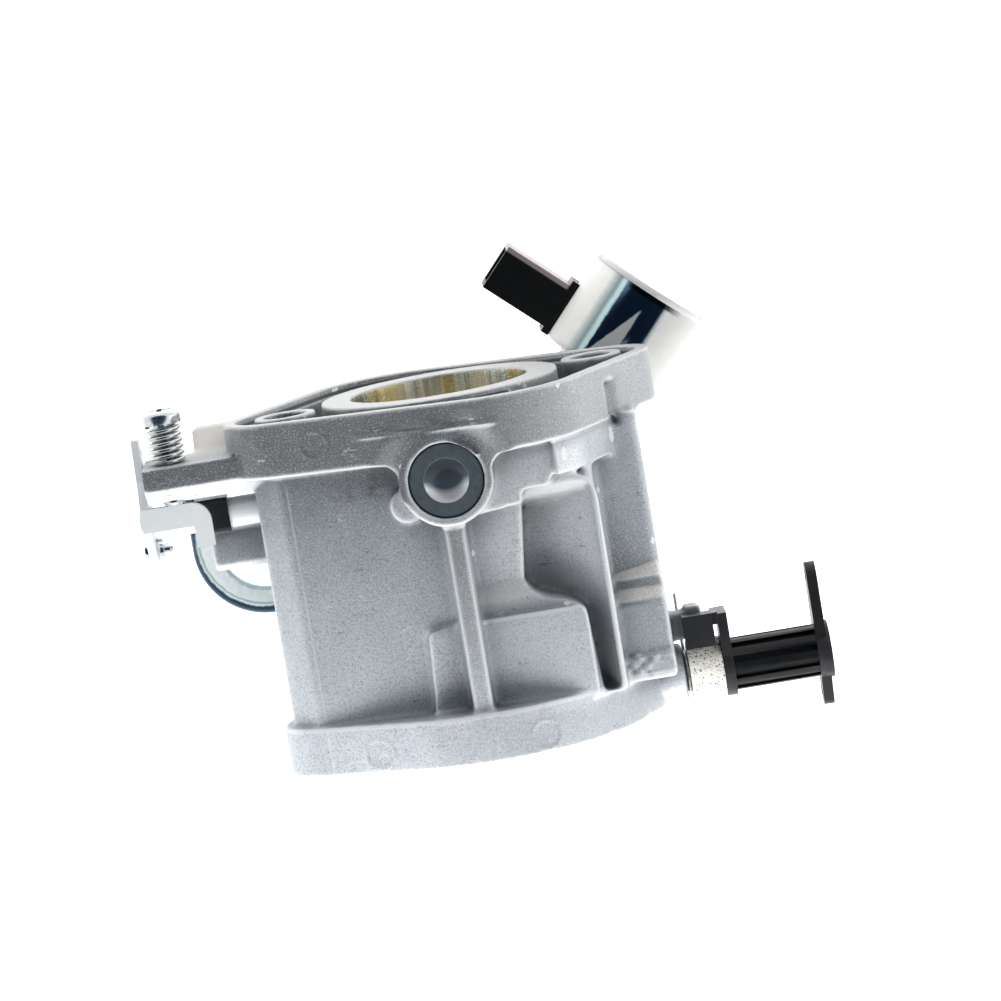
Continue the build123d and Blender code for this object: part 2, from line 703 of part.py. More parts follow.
# ---- float bowl ---------------------------------------------------------------------------------
BOWL_TOP = BODY_FLOOR - GASKET_T
BOWL_MID_Y = (BOWL_FRONT_Y + BOWL_BACK_Y) / 2
BOWL_LEN_Y = BOWL_FRONT_Y - BOWL_BACK_Y
CAVITY_X = 2 * (BOWL_HALF_X - BOWL_WALL)
CAVITY_Y = BOWL_LEN_Y - 2 * BOWL_WALL
with BuildPart() as float_bowl:
    with BuildSketch(Plane.XY.offset(BOWL_BOTTOM)):
        with Locations((0, BOWL_MID_Y)):
            RectangleRounded(2 * BOWL_HALF_X, BOWL_LEN_Y, 9)
    extrude(amount=BOWL_TOP - BOWL_BOTTOM)
    fillet(float_bowl.faces().sort_by(Axis.Z)[0].edges(), 3)
    with BuildSketch(Plane.XY.offset(BOWL_TOP)):
        with Locations((0, BOWL_MID_Y)):
            RectangleRounded(2 * BOWL_HALF_X + 2, BOWL_LEN_Y, 6)
        with Locations(*BOWL_SCREWS):
            Circle(4.6)
    extrude(amount=-RIM_T)
    with BuildSketch(on_solenoid(25)):
        Circle(9)
    extrude(amount=18)
    with BuildSketch(Plane.XY.offset(BOWL_BOTTOM + 4)):
        with Locations((DRAIN_X, DRAIN_Y)):
            Circle(6.5)
    extrude(amount=-6)
    with BuildSketch(Plane.XY.offset(BOWL_TOP)):
        with Locations((0, BOWL_MID_Y)):
            RectangleRounded(CAVITY_X, CAVITY_Y, 9 - BOWL_WALL)
    extrude(amount=BOWL_BOTTOM + 2.5 - BOWL_TOP, mode=Mode.SUBTRACT)
    with BuildSketch(on_solenoid(20)):
        Circle(5.0)
    extrude(amount=26, mode=Mode.SUBTRACT)
    with BuildSketch(Plane.XY.offset(BOWL_BOTTOM + 5)):
        with Locations((DRAIN_X, DRAIN_Y)):
            Circle(3.0)
    extrude(amount=-10, mode=Mode.SUBTRACT)
    with BuildSketch(Plane.XY.offset(BOWL_TOP)):
        with Locations(*BOWL_SCREWS):
            Circle(2.1)
    extrude(amount=-RIM_T, mode=Mode.SUBTRACT)
save(float_bowl, "float_bowl")

with BuildPart() as bowl_gasket:
    with BuildSketch(Plane.XY.offset(BOWL_TOP)):
        with Locations((0, BOWL_MID_Y)):
            RectangleRounded(2 * BOWL_HALF_X + 2, BOWL_LEN_Y, 6)
        with Locations(*BOWL_SCREWS):
            Circle(4.6)
        with Locations((0, BOWL_MID_Y)):
            RectangleRounded(CAVITY_X, CAVITY_Y, 9 - BOWL_WALL, mode=Mode.SUBTRACT)
        with Locations(*BOWL_SCREWS):
            Circle(2.2, mode=Mode.SUBTRACT)
    extrude(amount=GASKET_T)
save(bowl_gasket, "bowl_gasket")

with BuildPart() as bowl_screws:
    with BuildSketch(Plane.XY.offset(BOWL_TOP - RIM_T)):
        with Locations(*BOWL_SCREWS):
            Circle(3.5)
    extrude(amount=-2.6)
    fillet(bowl_screws.edges().filter_by(GeomType.CIRCLE).group_by(Axis.Z)[0], 1.0)
    with BuildSketch(Plane.XY.offset(BOWL_TOP - RIM_T)):
        with Locations(*BOWL_SCREWS):
            Circle(2.0)
    extrude(amount=12.4)
    with BuildSketch(Plane.XY.offset(BOWL_TOP - RIM_T - 2.6)):
        with Locations(*BOWL_SCREWS):
            Rectangle(4.2, 0.9)
            Rectangle(0.9, 4.2)
    extrude(amount=1.4, mode=Mode.SUBTRACT)
save(bowl_screws, "bowl_screws")

DRAIN_SEAT = BOWL_BOTTOM - 2.0
with BuildPart() as drain_washer:
    with BuildSketch(Plane.XY.offset(DRAIN_SEAT)):
        with Locations((DRAIN_X, DRAIN_Y)):
            Circle(5.6)
            Circle(3.05, mode=Mode.SUBTRACT)
    extrude(amount=-1.0)
save(drain_washer, "drain_washer")

with BuildPart() as drain_screw:
    with BuildSketch(Plane.XY.offset(DRAIN_SEAT - 1.0)):
        with Locations((DRAIN_X, DRAIN_Y)):
            RegularPolygon(5.2, 6)
    extrude(amount=-4.0)
    with BuildSketch(Plane.XY.offset(DRAIN_SEAT - 1.0)):
        with Locations((DRAIN_X, DRAIN_Y)):
            Circle(3.0)
    extrude(amount=5.4)
save(drain_screw, "drain_screw")

# ---- float, needle and jets ---------------------------------------------------------------------
FLOAT_TOP = -32.5
FLOAT_BOTTOM = -42.0
with BuildPart() as float_pontoons:
    with BuildSketch(Plane.XY.offset(FLOAT_BOTTOM)):
        with Locations((-15, -36.5)):
            RectangleRounded(11.5, 33, 3.5)
        with Locations((15, -45.5)):
            RectangleRounded(11.5, 15, 3.5)
    extrude(amount=FLOAT_TOP - FLOAT_BOTTOM)
    fillet(float_pontoons.faces().group_by(Axis.Z)[0].edges(), 1.5)
    with BuildSketch(Plane.XY.offset(-38)):
        with Locations((0, -53.0)):
            Rectangle(24, 4.0)
    extrude(amount=4)
    with BuildSketch(Plane.XY.offset(-34)):
        with Locations((0, -52.7)):
            Rectangle(14, 7.6)
    extrude(amount=1.3)
    with BuildSketch(side(-6.8)):
        with Locations((HINGE_Y, HINGE_Z)):
            Circle(2.2)
        with Locations((HINGE_Y, HINGE_Z - 1.6)):
            Rectangle(4.4, 3.2)
    extrude(amount=13.6)
    with BuildSketch(side(-8)):
        with Locations((HINGE_Y, HINGE_Z)):
            Circle(HINGE_PIN_R + RUNNING_GAP)
    extrude(amount=16, mode=Mode.SUBTRACT)
save(float_pontoons, "float")

with BuildPart() as float_hinge_pin:
    with BuildSketch(side(-11.5)):
        with Locations((HINGE_Y, HINGE_Z)):
            Circle(HINGE_PIN_R)
    extrude(amount=23)
save(float_hinge_pin, "float_hinge_pin")

with BuildPart() as needle_seat:
    with BuildSketch(Plane.XY.offset(BODY_FLOOR - 1)):
        with Locations((0, NEEDLE_Y)):
            Circle(SEAT_R)
            Circle(1.9, mode=Mode.SUBTRACT)
    extrude(amount=3)
    with BuildSketch(Plane.XY.offset(BODY_FLOOR + 2)):
        with Locations((0, NEEDLE_Y)):
            Circle(SEAT_R)
            Circle(1.0, mode=Mode.SUBTRACT)
    extrude(amount=2)
save(needle_seat, "needle_seat")

with BuildPart() as inlet_needle:
    with BuildSketch(Plane.XZ.offset(-NEEDLE_Y)):
        with BuildLine():
            Polyline((0, -32.55), (1.6, -32.55), (1.6, -31.6), (1.1, -31.4), (1.1, -30.8),
                     (1.6, -30.6), (1.6, -27.2), (0.4, -25.2), (0, -25.2), close=True)
        make_face()
    revolve(axis=Axis((0, NEEDLE_Y, 0), (0, 0, 1)))
save(inlet_needle, "inlet_needle")

with BuildPart() as needle_clip:
    with BuildSketch(Plane.XY.offset(-31.3)):
        with Locations((0, NEEDLE_Y)):
            Circle(1.9)
            Circle(1.1, mode=Mode.SUBTRACT)
            with Locations((0, 2)):
                Rectangle(1.6, 3, mode=Mode.SUBTRACT)
    extrude(amount=0.4)
save(needle_clip, "needle_clip")

with BuildPart() as main_nozzle:
    with BuildSketch(Plane.XY.offset(-38)):
        with Locations((0, POST_Y)):
            Circle(NOZZLE_R)
            Circle(1.4, mode=Mode.SUBTRACT)
    extrude(amount=31)
    with BuildSketch(Plane.YZ.offset(-4)):
        with Locations((POST_Y, -24), (POST_Y, -20)):
            Circle(0.5)
    extrude(amount=8, mode=Mode.SUBTRACT)
save(main_nozzle, "main_nozzle")

with BuildPart() as main_jet:
    with BuildSketch(on_solenoid(2.6)):
        Circle(MAIN_JET_R)
        Circle(0.7, mode=Mode.SUBTRACT)
    extrude(amount=5)
save(main_jet, "main_jet")

with BuildPart() as pilot_jet:
    with BuildSketch(Plane.XY.offset(-38)):
        with Locations((PILOT_X, PILOT_Y)):
            Circle(PILOT_JET_R)
            Circle(0.5, mode=Mode.SUBTRACT)
    extrude(amount=13.5)
save(pilot_jet, "pilot_jet")

# ---- fuel inlet tube ----------------------------------------------------------------------------
TUBE_LINE_X = -52.4
with BuildPart() as fuel_inlet_tube:
    with BuildLine() as tube_path:
        stub = Line((BODY_LEFT + 6, INLET_Y, INLET_Z), (TUBE_LINE_X + TUBE_BEND_R, INLET_Y, INLET_Z))
        bend = RadiusArc(stub @ 1, (TUBE_LINE_X, INLET_Y + TUBE_BEND_R, INLET_Z), TUBE_BEND_R)
        Line(bend @ 1, (TUBE_LINE_X, -17, INLET_Z))
    with BuildSketch(side(BODY_LEFT + 6)):
        with Locations((INLET_Y, INLET_Z)):
            Circle(TUBE_R)
            Circle(TUBE_R - 0.8, mode=Mode.SUBTRACT)
    sweep(path=tube_path.line)
save(fuel_inlet_tube, "fuel_inlet_tube")

# ---- fuel shut-off solenoid ---------------------------------------------------------------------
NECK_R = 5.0
with BuildPart() as solenoid_washer:
    with BuildSketch(on_solenoid(HEX_START - WASHER_T)):
        Circle(8.0)
        Circle(NECK_R, mode=Mode.SUBTRACT)
    extrude(amount=WASHER_T)
save(solenoid_washer, "solenoid_washer")

PLUNGER_R = 2.4
with BuildPart() as solenoid_neck:
    with BuildSketch(on_solenoid(NECK_START)):
        Circle(NECK_R)
    extrude(amount=HEX_START - NECK_START)
    with BuildSketch(on_solenoid(HEX_START)):
        RegularPolygon(10.0, 6)
    extrude(amount=CAN_START - HEX_START)
    with BuildSketch(on_solenoid(NECK_START)):
        Circle(PLUNGER_R + RUNNING_GAP)
    extrude(amount=CAN_START - NECK_START, mode=Mode.SUBTRACT)
save(solenoid_neck, "solenoid_neck")

with BuildPart() as solenoid_can:
    with BuildSketch(on_solenoid(CAN_START)):
        Circle(SOLENOID_R)
    extrude(amount=CAN_END - CAN_START)
    fillet(solenoid_can.edges().filter_by(GeomType.CIRCLE).group_by(Axis.Y)[0], 1.6)
    with BuildSketch(on_solenoid(CAN_START + 1.2)):
        Circle(SOLENOID_R - 1.2)
    extrude(amount=CAN_END - CAN_START, mode=Mode.SUBTRACT)
    with BuildSketch(on_solenoid(CAN_START - 1)):
        Circle(PLUNGER_R + RUNNING_GAP)
    extrude(amount=4, mode=Mode.SUBTRACT)
save(solenoid_can, "solenoid_can")

with BuildPart() as solenoid_end_disc:
    with BuildSketch(on_solenoid(CAN_END)):
        Circle(SOLENOID_R + 0.1)
    extrude(amount=1.3)
save(solenoid_end_disc, "solenoid_end_disc")

COIL_START = CAN_START + 1.2
with BuildPart() as solenoid_bobbin:
    with BuildSketch(on_solenoid(COIL_START)):
        Circle(11.5)
    extrude(amount=1.2)
    with BuildSketch(on_solenoid(CAN_END - 1.2)):
        Circle(11.5)
    extrude(amount=1.2)
    with BuildSketch(on_solenoid(COIL_START)):
        Circle(4.0)
    extrude(amount=CAN_END - COIL_START)
    with BuildSketch(on_solenoid(COIL_START)):
        Circle(PLUNGER_R + RUNNING_GAP)
    extrude(amount=CAN_END - COIL_START, mode=Mode.SUBTRACT)
save(solenoid_bobbin, "solenoid_bobbin")

with BuildPart() as solenoid_coil:
    with BuildSketch(on_solenoid(COIL_START + 1.2)):
        Circle(11.0)
        Circle(4.0, mode=Mode.SUBTRACT)
    extrude(amount=CAN_END - COIL_START - 2.4)
save(solenoid_coil, "solenoid_coil")

PLUNGER_TIP = 7.7
PLUNGER_END = 60.5
with BuildPart() as solenoid_plunger:
    with BuildSketch(on_solenoid(PLUNGER_TIP + 2)):
        Circle(PLUNGER_R)
    extrude(amount=PLUNGER_END - PLUNGER_TIP - 2)
    with BuildSketch(on_solenoid(PLUNGER_TIP)):
        Circle(1.6)
    extrude(amount=2)
save(solenoid_plunger, "solenoid_plunger")

plunger_spring = spring(0.35, 1.9, 6, CAN_END - PLUNGER_END,
                        (PLUNGER_END * AXIS_X, POST_Y + PLUNGER_END * AXIS_Y, SOLENOID_Z),
                        (AXIS_X, AXIS_Y, 0))
save(plunger_spring, "plunger_spring")

# connector block standing square off the side of the can, on a slightly wider foot
CONNECTOR_PLANE = Plane(
    origin=(CONNECTOR_S * AXIS_X, POST_Y + CONNECTOR_S * AXIS_Y, SOLENOID_Z),
    x_dir=(AXIS_X, AXIS_Y, 0),
    z_dir=(-AXIS_Y, AXIS_X, 0),
)
TERMINAL_T = 0.8
TERMINAL_W = 1.6
TERMINALS = [
    (0, CONNECTOR_DROP + TERMINAL_HALF_PITCH),
    (0, CONNECTOR_DROP - TERMINAL_HALF_PITCH),
]
with BuildPart() as solenoid_connector:
    with BuildSketch(CONNECTOR_PLANE.offset(CONNECTOR_FOOT)):
        with Locations((0, CONNECTOR_DROP)):
            Rectangle(10.0, 11)
    extrude(amount=CONNECTOR_END - CONNECTOR_FOOT)
    with BuildSketch(CONNECTOR_PLANE.offset(CONNECTOR_FOOT)):
        with Locations((0, CONNECTOR_DROP)):
            Rectangle(12.4, 11)
    extrude(amount=3)
    with BuildSketch(on_solenoid(CAN_START - 3)):
        Circle(SOLENOID_R)
    extrude(amount=30, mode=Mode.SUBTRACT)
    with BuildSketch(CONNECTOR_PLANE.offset(CONNECTOR_END)):
        with Locations((0, CONNECTOR_DROP)):
            Rectangle(7.6, 8.6)
    extrude(amount=-9, mode=Mode.SUBTRACT)
    with BuildSketch(CONNECTOR_PLANE.offset(10)):
        with Locations(*TERMINALS):
            Rectangle(TERMINAL_T, TERMINAL_W)
    extrude(amount=14, mode=Mode.SUBTRACT)
save(solenoid_connector, "solenoid_connector")

with BuildPart() as connector_terminals:
    with BuildSketch(CONNECTOR_PLANE.offset(14)):
        with Locations(*TERMINALS):
            Rectangle(TERMINAL_T, TERMINAL_W)
    extrude(amount=13)
save(connector_terminals, "connector_terminals")
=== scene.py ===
"""Visual model of a single-barrel carburetor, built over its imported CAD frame."""
import json
import math
from functools import reduce

import bpy
import numpy as np
from mathutils import Matrix, Vector


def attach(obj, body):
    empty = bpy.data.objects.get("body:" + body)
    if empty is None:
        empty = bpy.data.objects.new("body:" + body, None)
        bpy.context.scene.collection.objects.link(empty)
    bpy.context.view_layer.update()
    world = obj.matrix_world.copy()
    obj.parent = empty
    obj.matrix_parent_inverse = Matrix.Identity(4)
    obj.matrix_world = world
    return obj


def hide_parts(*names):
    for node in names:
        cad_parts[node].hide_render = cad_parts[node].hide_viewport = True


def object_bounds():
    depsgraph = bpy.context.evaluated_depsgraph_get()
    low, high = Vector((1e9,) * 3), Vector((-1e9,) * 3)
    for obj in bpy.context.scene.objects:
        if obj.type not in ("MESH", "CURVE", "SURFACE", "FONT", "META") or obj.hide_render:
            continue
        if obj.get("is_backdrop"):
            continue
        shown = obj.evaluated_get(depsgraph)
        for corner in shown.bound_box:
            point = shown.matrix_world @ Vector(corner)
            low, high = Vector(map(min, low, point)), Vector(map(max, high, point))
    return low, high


# The casting and the materials work in millimetres; the floor, lights and camera in metres.
# X runs along the shafts, Y along the bore towards the engine, and Z away from the float bowl.
# Left, right, above and below are as the camera sees the part, with X to the right and Y up.
MM = 0.001
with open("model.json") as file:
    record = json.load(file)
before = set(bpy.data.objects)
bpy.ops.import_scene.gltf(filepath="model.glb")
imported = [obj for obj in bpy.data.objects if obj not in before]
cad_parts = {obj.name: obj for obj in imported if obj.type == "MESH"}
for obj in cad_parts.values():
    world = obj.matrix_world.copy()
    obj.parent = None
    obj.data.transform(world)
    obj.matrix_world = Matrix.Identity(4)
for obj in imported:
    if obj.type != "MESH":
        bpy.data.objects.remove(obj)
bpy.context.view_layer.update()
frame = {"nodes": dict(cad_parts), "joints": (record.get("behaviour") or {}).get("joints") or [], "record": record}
nodes = frame["nodes"]

joint_axes = {joint["name"]: joint["axis"] for joint in frame["joints"]}
SOLENOID_X, SOLENOID_Y = joint_axes["plunger_travel"][:2]
POST_Y = -43.5  # the solenoid axis starts on the bowl post, at X = 0
PLUG_X, PLUG_Y = -1.3, -15.0
WELD = 0.002 * MM


# ---- node-material helper -----------------------------------------------------------------------
class Material:
    """A small builder for procedural materials; positions are in millimetres."""

    def __init__(self, name):
        self.material = bpy.data.materials.new(name)
        self.material.use_nodes = True
        self.tree = self.material.node_tree
        self.shader = self.tree.nodes["Principled BSDF"]
        coords = self.node("ShaderNodeTexCoord")
        scale = self.node("ShaderNodeVectorMath", operation="SCALE")
        self.link(coords.outputs["Object"], scale.inputs[0])
        scale.inputs["Scale"].default_value = 1 / MM
        self.place = scale.outputs[0]
        self.x, self.y, self.z = self.split(self.place)

    def node(self, kind, **settings):
        made = self.tree.nodes.new(kind)
        for key, value in settings.items():
            setattr(made, key, value)
        return made

    def link(self, source, target):
        self.tree.links.new(source, target)

    def put(self, socket, value):
        """Links a socket, or sets a number or a color."""
        if isinstance(value, bpy.types.NodeSocket):
            self.link(value, socket)
        elif isinstance(value, tuple) and len(value) == 3:
            socket.default_value = (*value, 1)
        else:
            socket.default_value = value

    def split(self, vector):
        made = self.node("ShaderNodeSeparateXYZ")
        self.link(vector, made.inputs[0])
        return tuple(made.outputs)

    def normal_axes(self):
        return self.split(self.node("ShaderNodeNewGeometry").outputs["Normal"])

    def noise(self, scale, detail=3.0, roughness=0.6, stretch=None):
        """Noise of about 1/scale millimetres, from 0 to 1."""
        made = self.node("ShaderNodeTexNoise")
        made.inputs["Scale"].default_value = scale
        made.inputs["Detail"].default_value = detail
        made.inputs["Roughness"].default_value = roughness
        source = self.place
        if stretch is not None:
            mapping = self.node("ShaderNodeMapping")
            mapping.inputs["Scale"].default_value = stretch
            self.link(source, mapping.inputs["Vector"])
            source = mapping.outputs[0]
        self.link(source, made.inputs["Vector"])
        return made.outputs["Fac"]

    def cells(self, scale):
        """Distance from the middle of the nearest cell."""
        made = self.node("ShaderNodeTexVoronoi")
        made.inputs["Scale"].default_value = scale
        self.link(self.place, made.inputs["Vector"])
        return made.outputs["Distance"]

    def ramp(self, source, low, high, to_low=0.0, to_high=1.0):
        """Maps low..high to to_low..to_high, clamped."""
        made = self.node("ShaderNodeMapRange")
        self.link(source, made.inputs["Value"])
        for key, value in zip(("From Min", "From Max", "To Min", "To Max"),
                              (low, high, to_low, to_high)):
            made.inputs[key].default_value = value
        return made.outputs["Result"]

    def between(self, source, rise, fall):
        """1 in the stretch between rise and fall, which are the (start, end) of its soft edges."""
        return self.product(self.ramp(source, *rise), self.ramp(source, *fall, 1, 0))

    def maths(self, operation, *values):
        made = self.node("ShaderNodeMath", operation=operation)
        for socket, value in zip(made.inputs, values):
            self.put(socket, value)
        return made.outputs[0]

    def product(self, *values):
        return reduce(lambda a, b: self.maths("MULTIPLY", a, b), values)

    def largest(self, *values):
        return reduce(lambda a, b: self.maths("MAXIMUM", a, b), values)

    def distance(self, *parts):
        """Distance from a point, given as two (coordinate, centre) pairs."""
        offsets = [self.maths("SUBTRACT", value, centre) for value, centre in parts]
        squares = [self.maths("POWER", offset, 2) for offset in offsets]
        return self.maths("SQRT", self.maths("ADD", *squares))

    def mix(self, share, a, b):
        made = self.node("ShaderNodeMix", data_type="RGBA")
        self.put(made.inputs["Factor"], share)
        self.put(made.inputs[6], a)
        self.put(made.inputs[7], b)
        return made.outputs[2]

    def blend_value(self, share, a, b):
        made = self.node("ShaderNodeMix")
        self.put(made.inputs["Factor"], share)
        self.put(made.inputs[2], a)
        self.put(made.inputs[3], b)
        return made.outputs[0]

    def sharpness_ramp(self, low=0.505, high=0.56):
        """From 0 to 1 between two sharpness values: 0.5 is flat, more is convex, less is concave."""
        geometry = self.node("ShaderNodeNewGeometry")
        return self.ramp(geometry.outputs["Pointiness"], low, high)

    def openness(self, distance):
        """1 on open surfaces, less in corners narrower than the distance."""
        made = self.node("ShaderNodeAmbientOcclusion", samples=6)
        made.inputs["Distance"].default_value = distance * MM
        return made.outputs["AO"]

    def bump(self, height, strength, distance, normal=None):
        made = self.node("ShaderNodeBump")
        made.inputs["Strength"].default_value = strength
        made.inputs["Distance"].default_value = distance * MM
        self.link(height, made.inputs["Height"])
        if normal is not None:
            self.link(normal, made.inputs["Normal"])
        return made.outputs["Normal"]

    def finish(self, color, roughness, metallic=0.0, normal=None, **others):
        self.put(self.shader.inputs["Base Color"], color)
        self.put(self.shader.inputs["Roughness"], roughness)
        self.put(self.shader.inputs["Metallic"], metallic)
        if normal is not None:
            self.link(normal, self.shader.inputs["Normal"])
        for key, value in others.items():
            self.put(self.shader.inputs[key.replace("_", " ")], value)
        return self.material


# ---- casting alloy: each layer takes the color below it and returns its own ---------------------
NEAR_WHITE = (0.97, 0.97, 0.97)


def flange_grey_and_painted_shade(m, facing_z, color):
    """Greyer on the engine flange and the frontmost faces, fading towards the air flange, and painted shade on the
    faces turned to the front, deepest near the engine flange.
    """
    outer = m.largest(m.ramp(m.y, -12.5, -10.8), m.ramp(m.z, 29.5, 30.8))
    outer = m.product(outer, m.ramp(m.y, -66, -30, 0.35, 1.0))
    color = m.mix(outer, color, (0.52, 0.53, 0.54))
    # painted shade: faces turned to the front darken towards the engine flange
    painted_shade_towards_flange = m.maths("ADD", m.ramp(m.y, -60, -8, 0, 0.60), m.ramp(m.y, -28, -11, 0, 0.22))
    dark = m.product(painted_shade_towards_flange, m.ramp(facing_z, 0.3, 0.8), m.ramp(m.x, 2, 13, 1, 0.35))
    return m.mix(dark, color, (0.17, 0.18, 0.19))


def painted_light_patches(m, color):
    """Painted light: brighter colour in the hollow right of the rib, on the pad left of it and on the gusset."""
    hollow = m.product(m.between(m.x, (1.5, 3.0), (24.5, 27.0)),
                       m.between(m.y, (-46.0, -41.0), (-14.0, -12.0)),
                       m.ramp(m.z, 30.5, 29.5, 0, 0.85))
    pad = m.product(m.between(m.x, (-11.5, -10.5), (-4.5, -3.5)),
                    m.between(m.y, (-63.5, -62.5), (-46.0, -43.5)), 0.6)
    from_gusset = m.distance((m.x, -9.5), (m.y, -19.6))
    gusset = m.product(m.ramp(from_gusset, 3.6, 3.2), m.ramp(m.z, 30.0, 29.0, 0, 0.8))
    return m.mix(m.largest(hollow, pad, gusset), color, (0.93, 0.94, 0.95))


def darker_right_side(m, color):
    """Darker grey on the stepped wall and on the lower right of the air flange."""
    wall = m.product(m.ramp(m.x, 27.5, 29.0), m.between(m.y, (-64.5, -63.0), (-18.0, -14.0)))
    flange = m.product(m.between(m.x, (-6.0, 6.0), (30.0, 36.0)), m.ramp(m.y, -62.0, -65.0))
    return m.mix(m.product(m.largest(wall, flange), 0.6), color, (0.45, 0.47, 0.50))


def wall_steps(m, facing_y, color):
    """The two steps on the right wall: painted shade above them, and a painted warm highlight on their sloping
    faces.
    """
    on_wall = m.product(m.ramp(m.x, 27.5, 28.5), m.ramp(m.y, -48.5, -47.5))
    # painted shade above the steps
    above = m.product(on_wall, m.ramp(m.y, -25.0, -39.5, 0, 0.75), m.ramp(m.x, 29.0, 37.0, 1, 0.2))
    color = m.mix(above, color, (0.13, 0.135, 0.14))
    # painted warm highlight on the upward-turned sloping faces
    slope = m.product(on_wall, m.ramp(facing_y, 0.25, 0.5), m.ramp(m.y, -39.8, -40.4), 0.85)
    return m.mix(slope, color, (0.92, 0.86, 0.82))


def sand_texture(m, grain, speckle, color):
    pitting = m.product(m.ramp(grain, 0.30, 0.52, 1, 0), m.ramp(m.x, -8.0, 4.0, 0.70, 0.50))
    color = m.mix(pitting, color, (0.18, 0.20, 0.22))
    return m.mix(m.ramp(speckle, 0.52, 0.68, 0, 0.52), color, (0.98, 0.98, 0.99))


def pad_ramp(m, facing_z, color):
    """Ramp above the right pad: painted warm light on the slope, painted shade at its foot, and a painted
    highlight along the pad's lip.
    """
    on_ramp = m.product(m.between(m.x, (0.8, 1.6), (19.6, 20.6)), m.ramp(facing_z, 0.2, 0.5))
    # painted light, painted shade and painted highlight, in that order
    for rise, fall, share, tone in (
        ((-41.8, -41.0), (-39.2, -38.0), 0.60, (0.90, 0.88, 0.84)),
        ((-44.6, -44.2), (-43.6, -41.4), 0.65, (0.17, 0.18, 0.19)),
        ((-45.3, -44.9), (-44.5, -44.2), 0.85, NEAR_WHITE),
    ):
        color = m.mix(m.product(on_ramp, m.between(m.y, rise, fall), share), color, tone)
    return color


def painted_edge_and_slope_light(m, facing_y, facing_z, color):
    """Painted highlights along the upper edge of the air flange and on bevels that face downwards, and painted
    warm light on the upward slopes round the idle screw.
    """
    flange_edge_highlight = m.product(m.between(m.y, (-62.7, -62.2), (-61.6, -61.2)),
                            m.ramp(facing_z, 0.2, 0.5, 0, 0.7))
    color = m.mix(flange_edge_highlight, color, NEAR_WHITE)
    # painted highlight on bevels that face downwards
    bevel = m.product(m.ramp(facing_y, -0.18, -0.50), m.ramp(facing_z, 0.15, 0.40), 0.8)
    color = m.mix(bevel, color, (0.94, 0.95, 0.96))
    painted_light_behind_screw = m.product(m.ramp(m.x, -40.0, -37.5, 1, 0), m.ramp(m.z, -0.5, -1.0),
                             m.ramp(facing_y, 0.35, 0.6), m.ramp(m.y, -14.0, -12.0))
    return m.mix(painted_light_behind_screw, color, (0.66, 0.63, 0.60))


def casting_flaws(m, cloud, color):
    """Parting line of the die, brown release stain below the flange and short scratches."""
    from_line = m.maths("ABSOLUTE", m.maths("ADD", m.x, 32.7))
    parting = m.product(m.ramp(from_line, 0.10, 0.35, 0.35, 0), m.ramp(m.y, -12.0, -14.0))
    color = m.mix(parting, color, (0.90, 0.91, 0.92))
    stain_x = m.maths("POWER", m.product(m.maths("ADD", m.x, 17.0), 0.13), 2)
    stain_y = m.maths("POWER", m.product(m.maths("ADD", m.y, 15.5), 0.30), 2)
    stain = m.product(m.ramp(m.maths("ADD", stain_x, stain_y), 0.1, 1.3, 0.85, 0),
                      m.ramp(m.noise(0.35, 4.0, 0.7), 0.40, 0.60), m.ramp(m.z, 8, 14))
    color = m.mix(stain, color, (0.19, 0.175, 0.18))
    streaks = m.noise(0.55, 1.0, 0.5, stretch=(0.35, 2.4, 1.0))
    from_level = m.maths("ABSOLUTE", m.maths("SUBTRACT", streaks, 0.5))
    scratch = m.product(m.ramp(from_level, 0.004, 0.018, 1, 0),
                        m.ramp(m.noise(0.22, 2.0), 0.56, 0.62, 0, 0.8))
    scratch_color = m.mix(m.ramp(cloud, 0.45, 0.55), (0.16, 0.18, 0.20), (0.93, 0.94, 0.95))
    return m.mix(scratch, color, scratch_color)


def wear_highlights_and_corner_shade(m, color):
    """Rubbed edges, also standing for painted highlights, and painted shade in creases and corners; the flange
    rims have no edges across them.
    """
    on_rim = m.largest(m.between(m.y, (-10.0, -9.2), (-2.0, -1.4)),
                       m.between(m.y, (-71.0, -70.3), (-62.7, -62.0)))
    # rubbed edges with a painted highlight on them
    rubbed = m.product(m.sharpness_ramp(0.508, 0.540), m.ramp(on_rim, 0, 1, 0.8, 0))
    color = m.mix(rubbed, color, NEAR_WHITE)
    # painted shade in concave creases
    color = m.mix(m.sharpness_ramp(0.492, 0.45), color, (0.12, 0.13, 0.14))
    # painted shade in corners, from ambient occlusion
    return m.mix(m.ramp(m.openness(8.0), 0.42, 0.88, 0.75, 0), color, (0.11, 0.12, 0.13))


def painted_recess_shade(m, facing_y, color):
    """Painted shade on the floor of the recess in the engine face."""
    floor_y = m.between(m.y, (-7.0, -6.5), (-0.8, -0.5))
    within = m.ramp(m.maths("ABSOLUTE", m.x), 42, 43, 1, 0)
    recess = m.product(m.ramp(facing_y, 0.5, 0.8), floor_y, within)
    return m.mix(recess, color, (0.03, 0.033, 0.036))


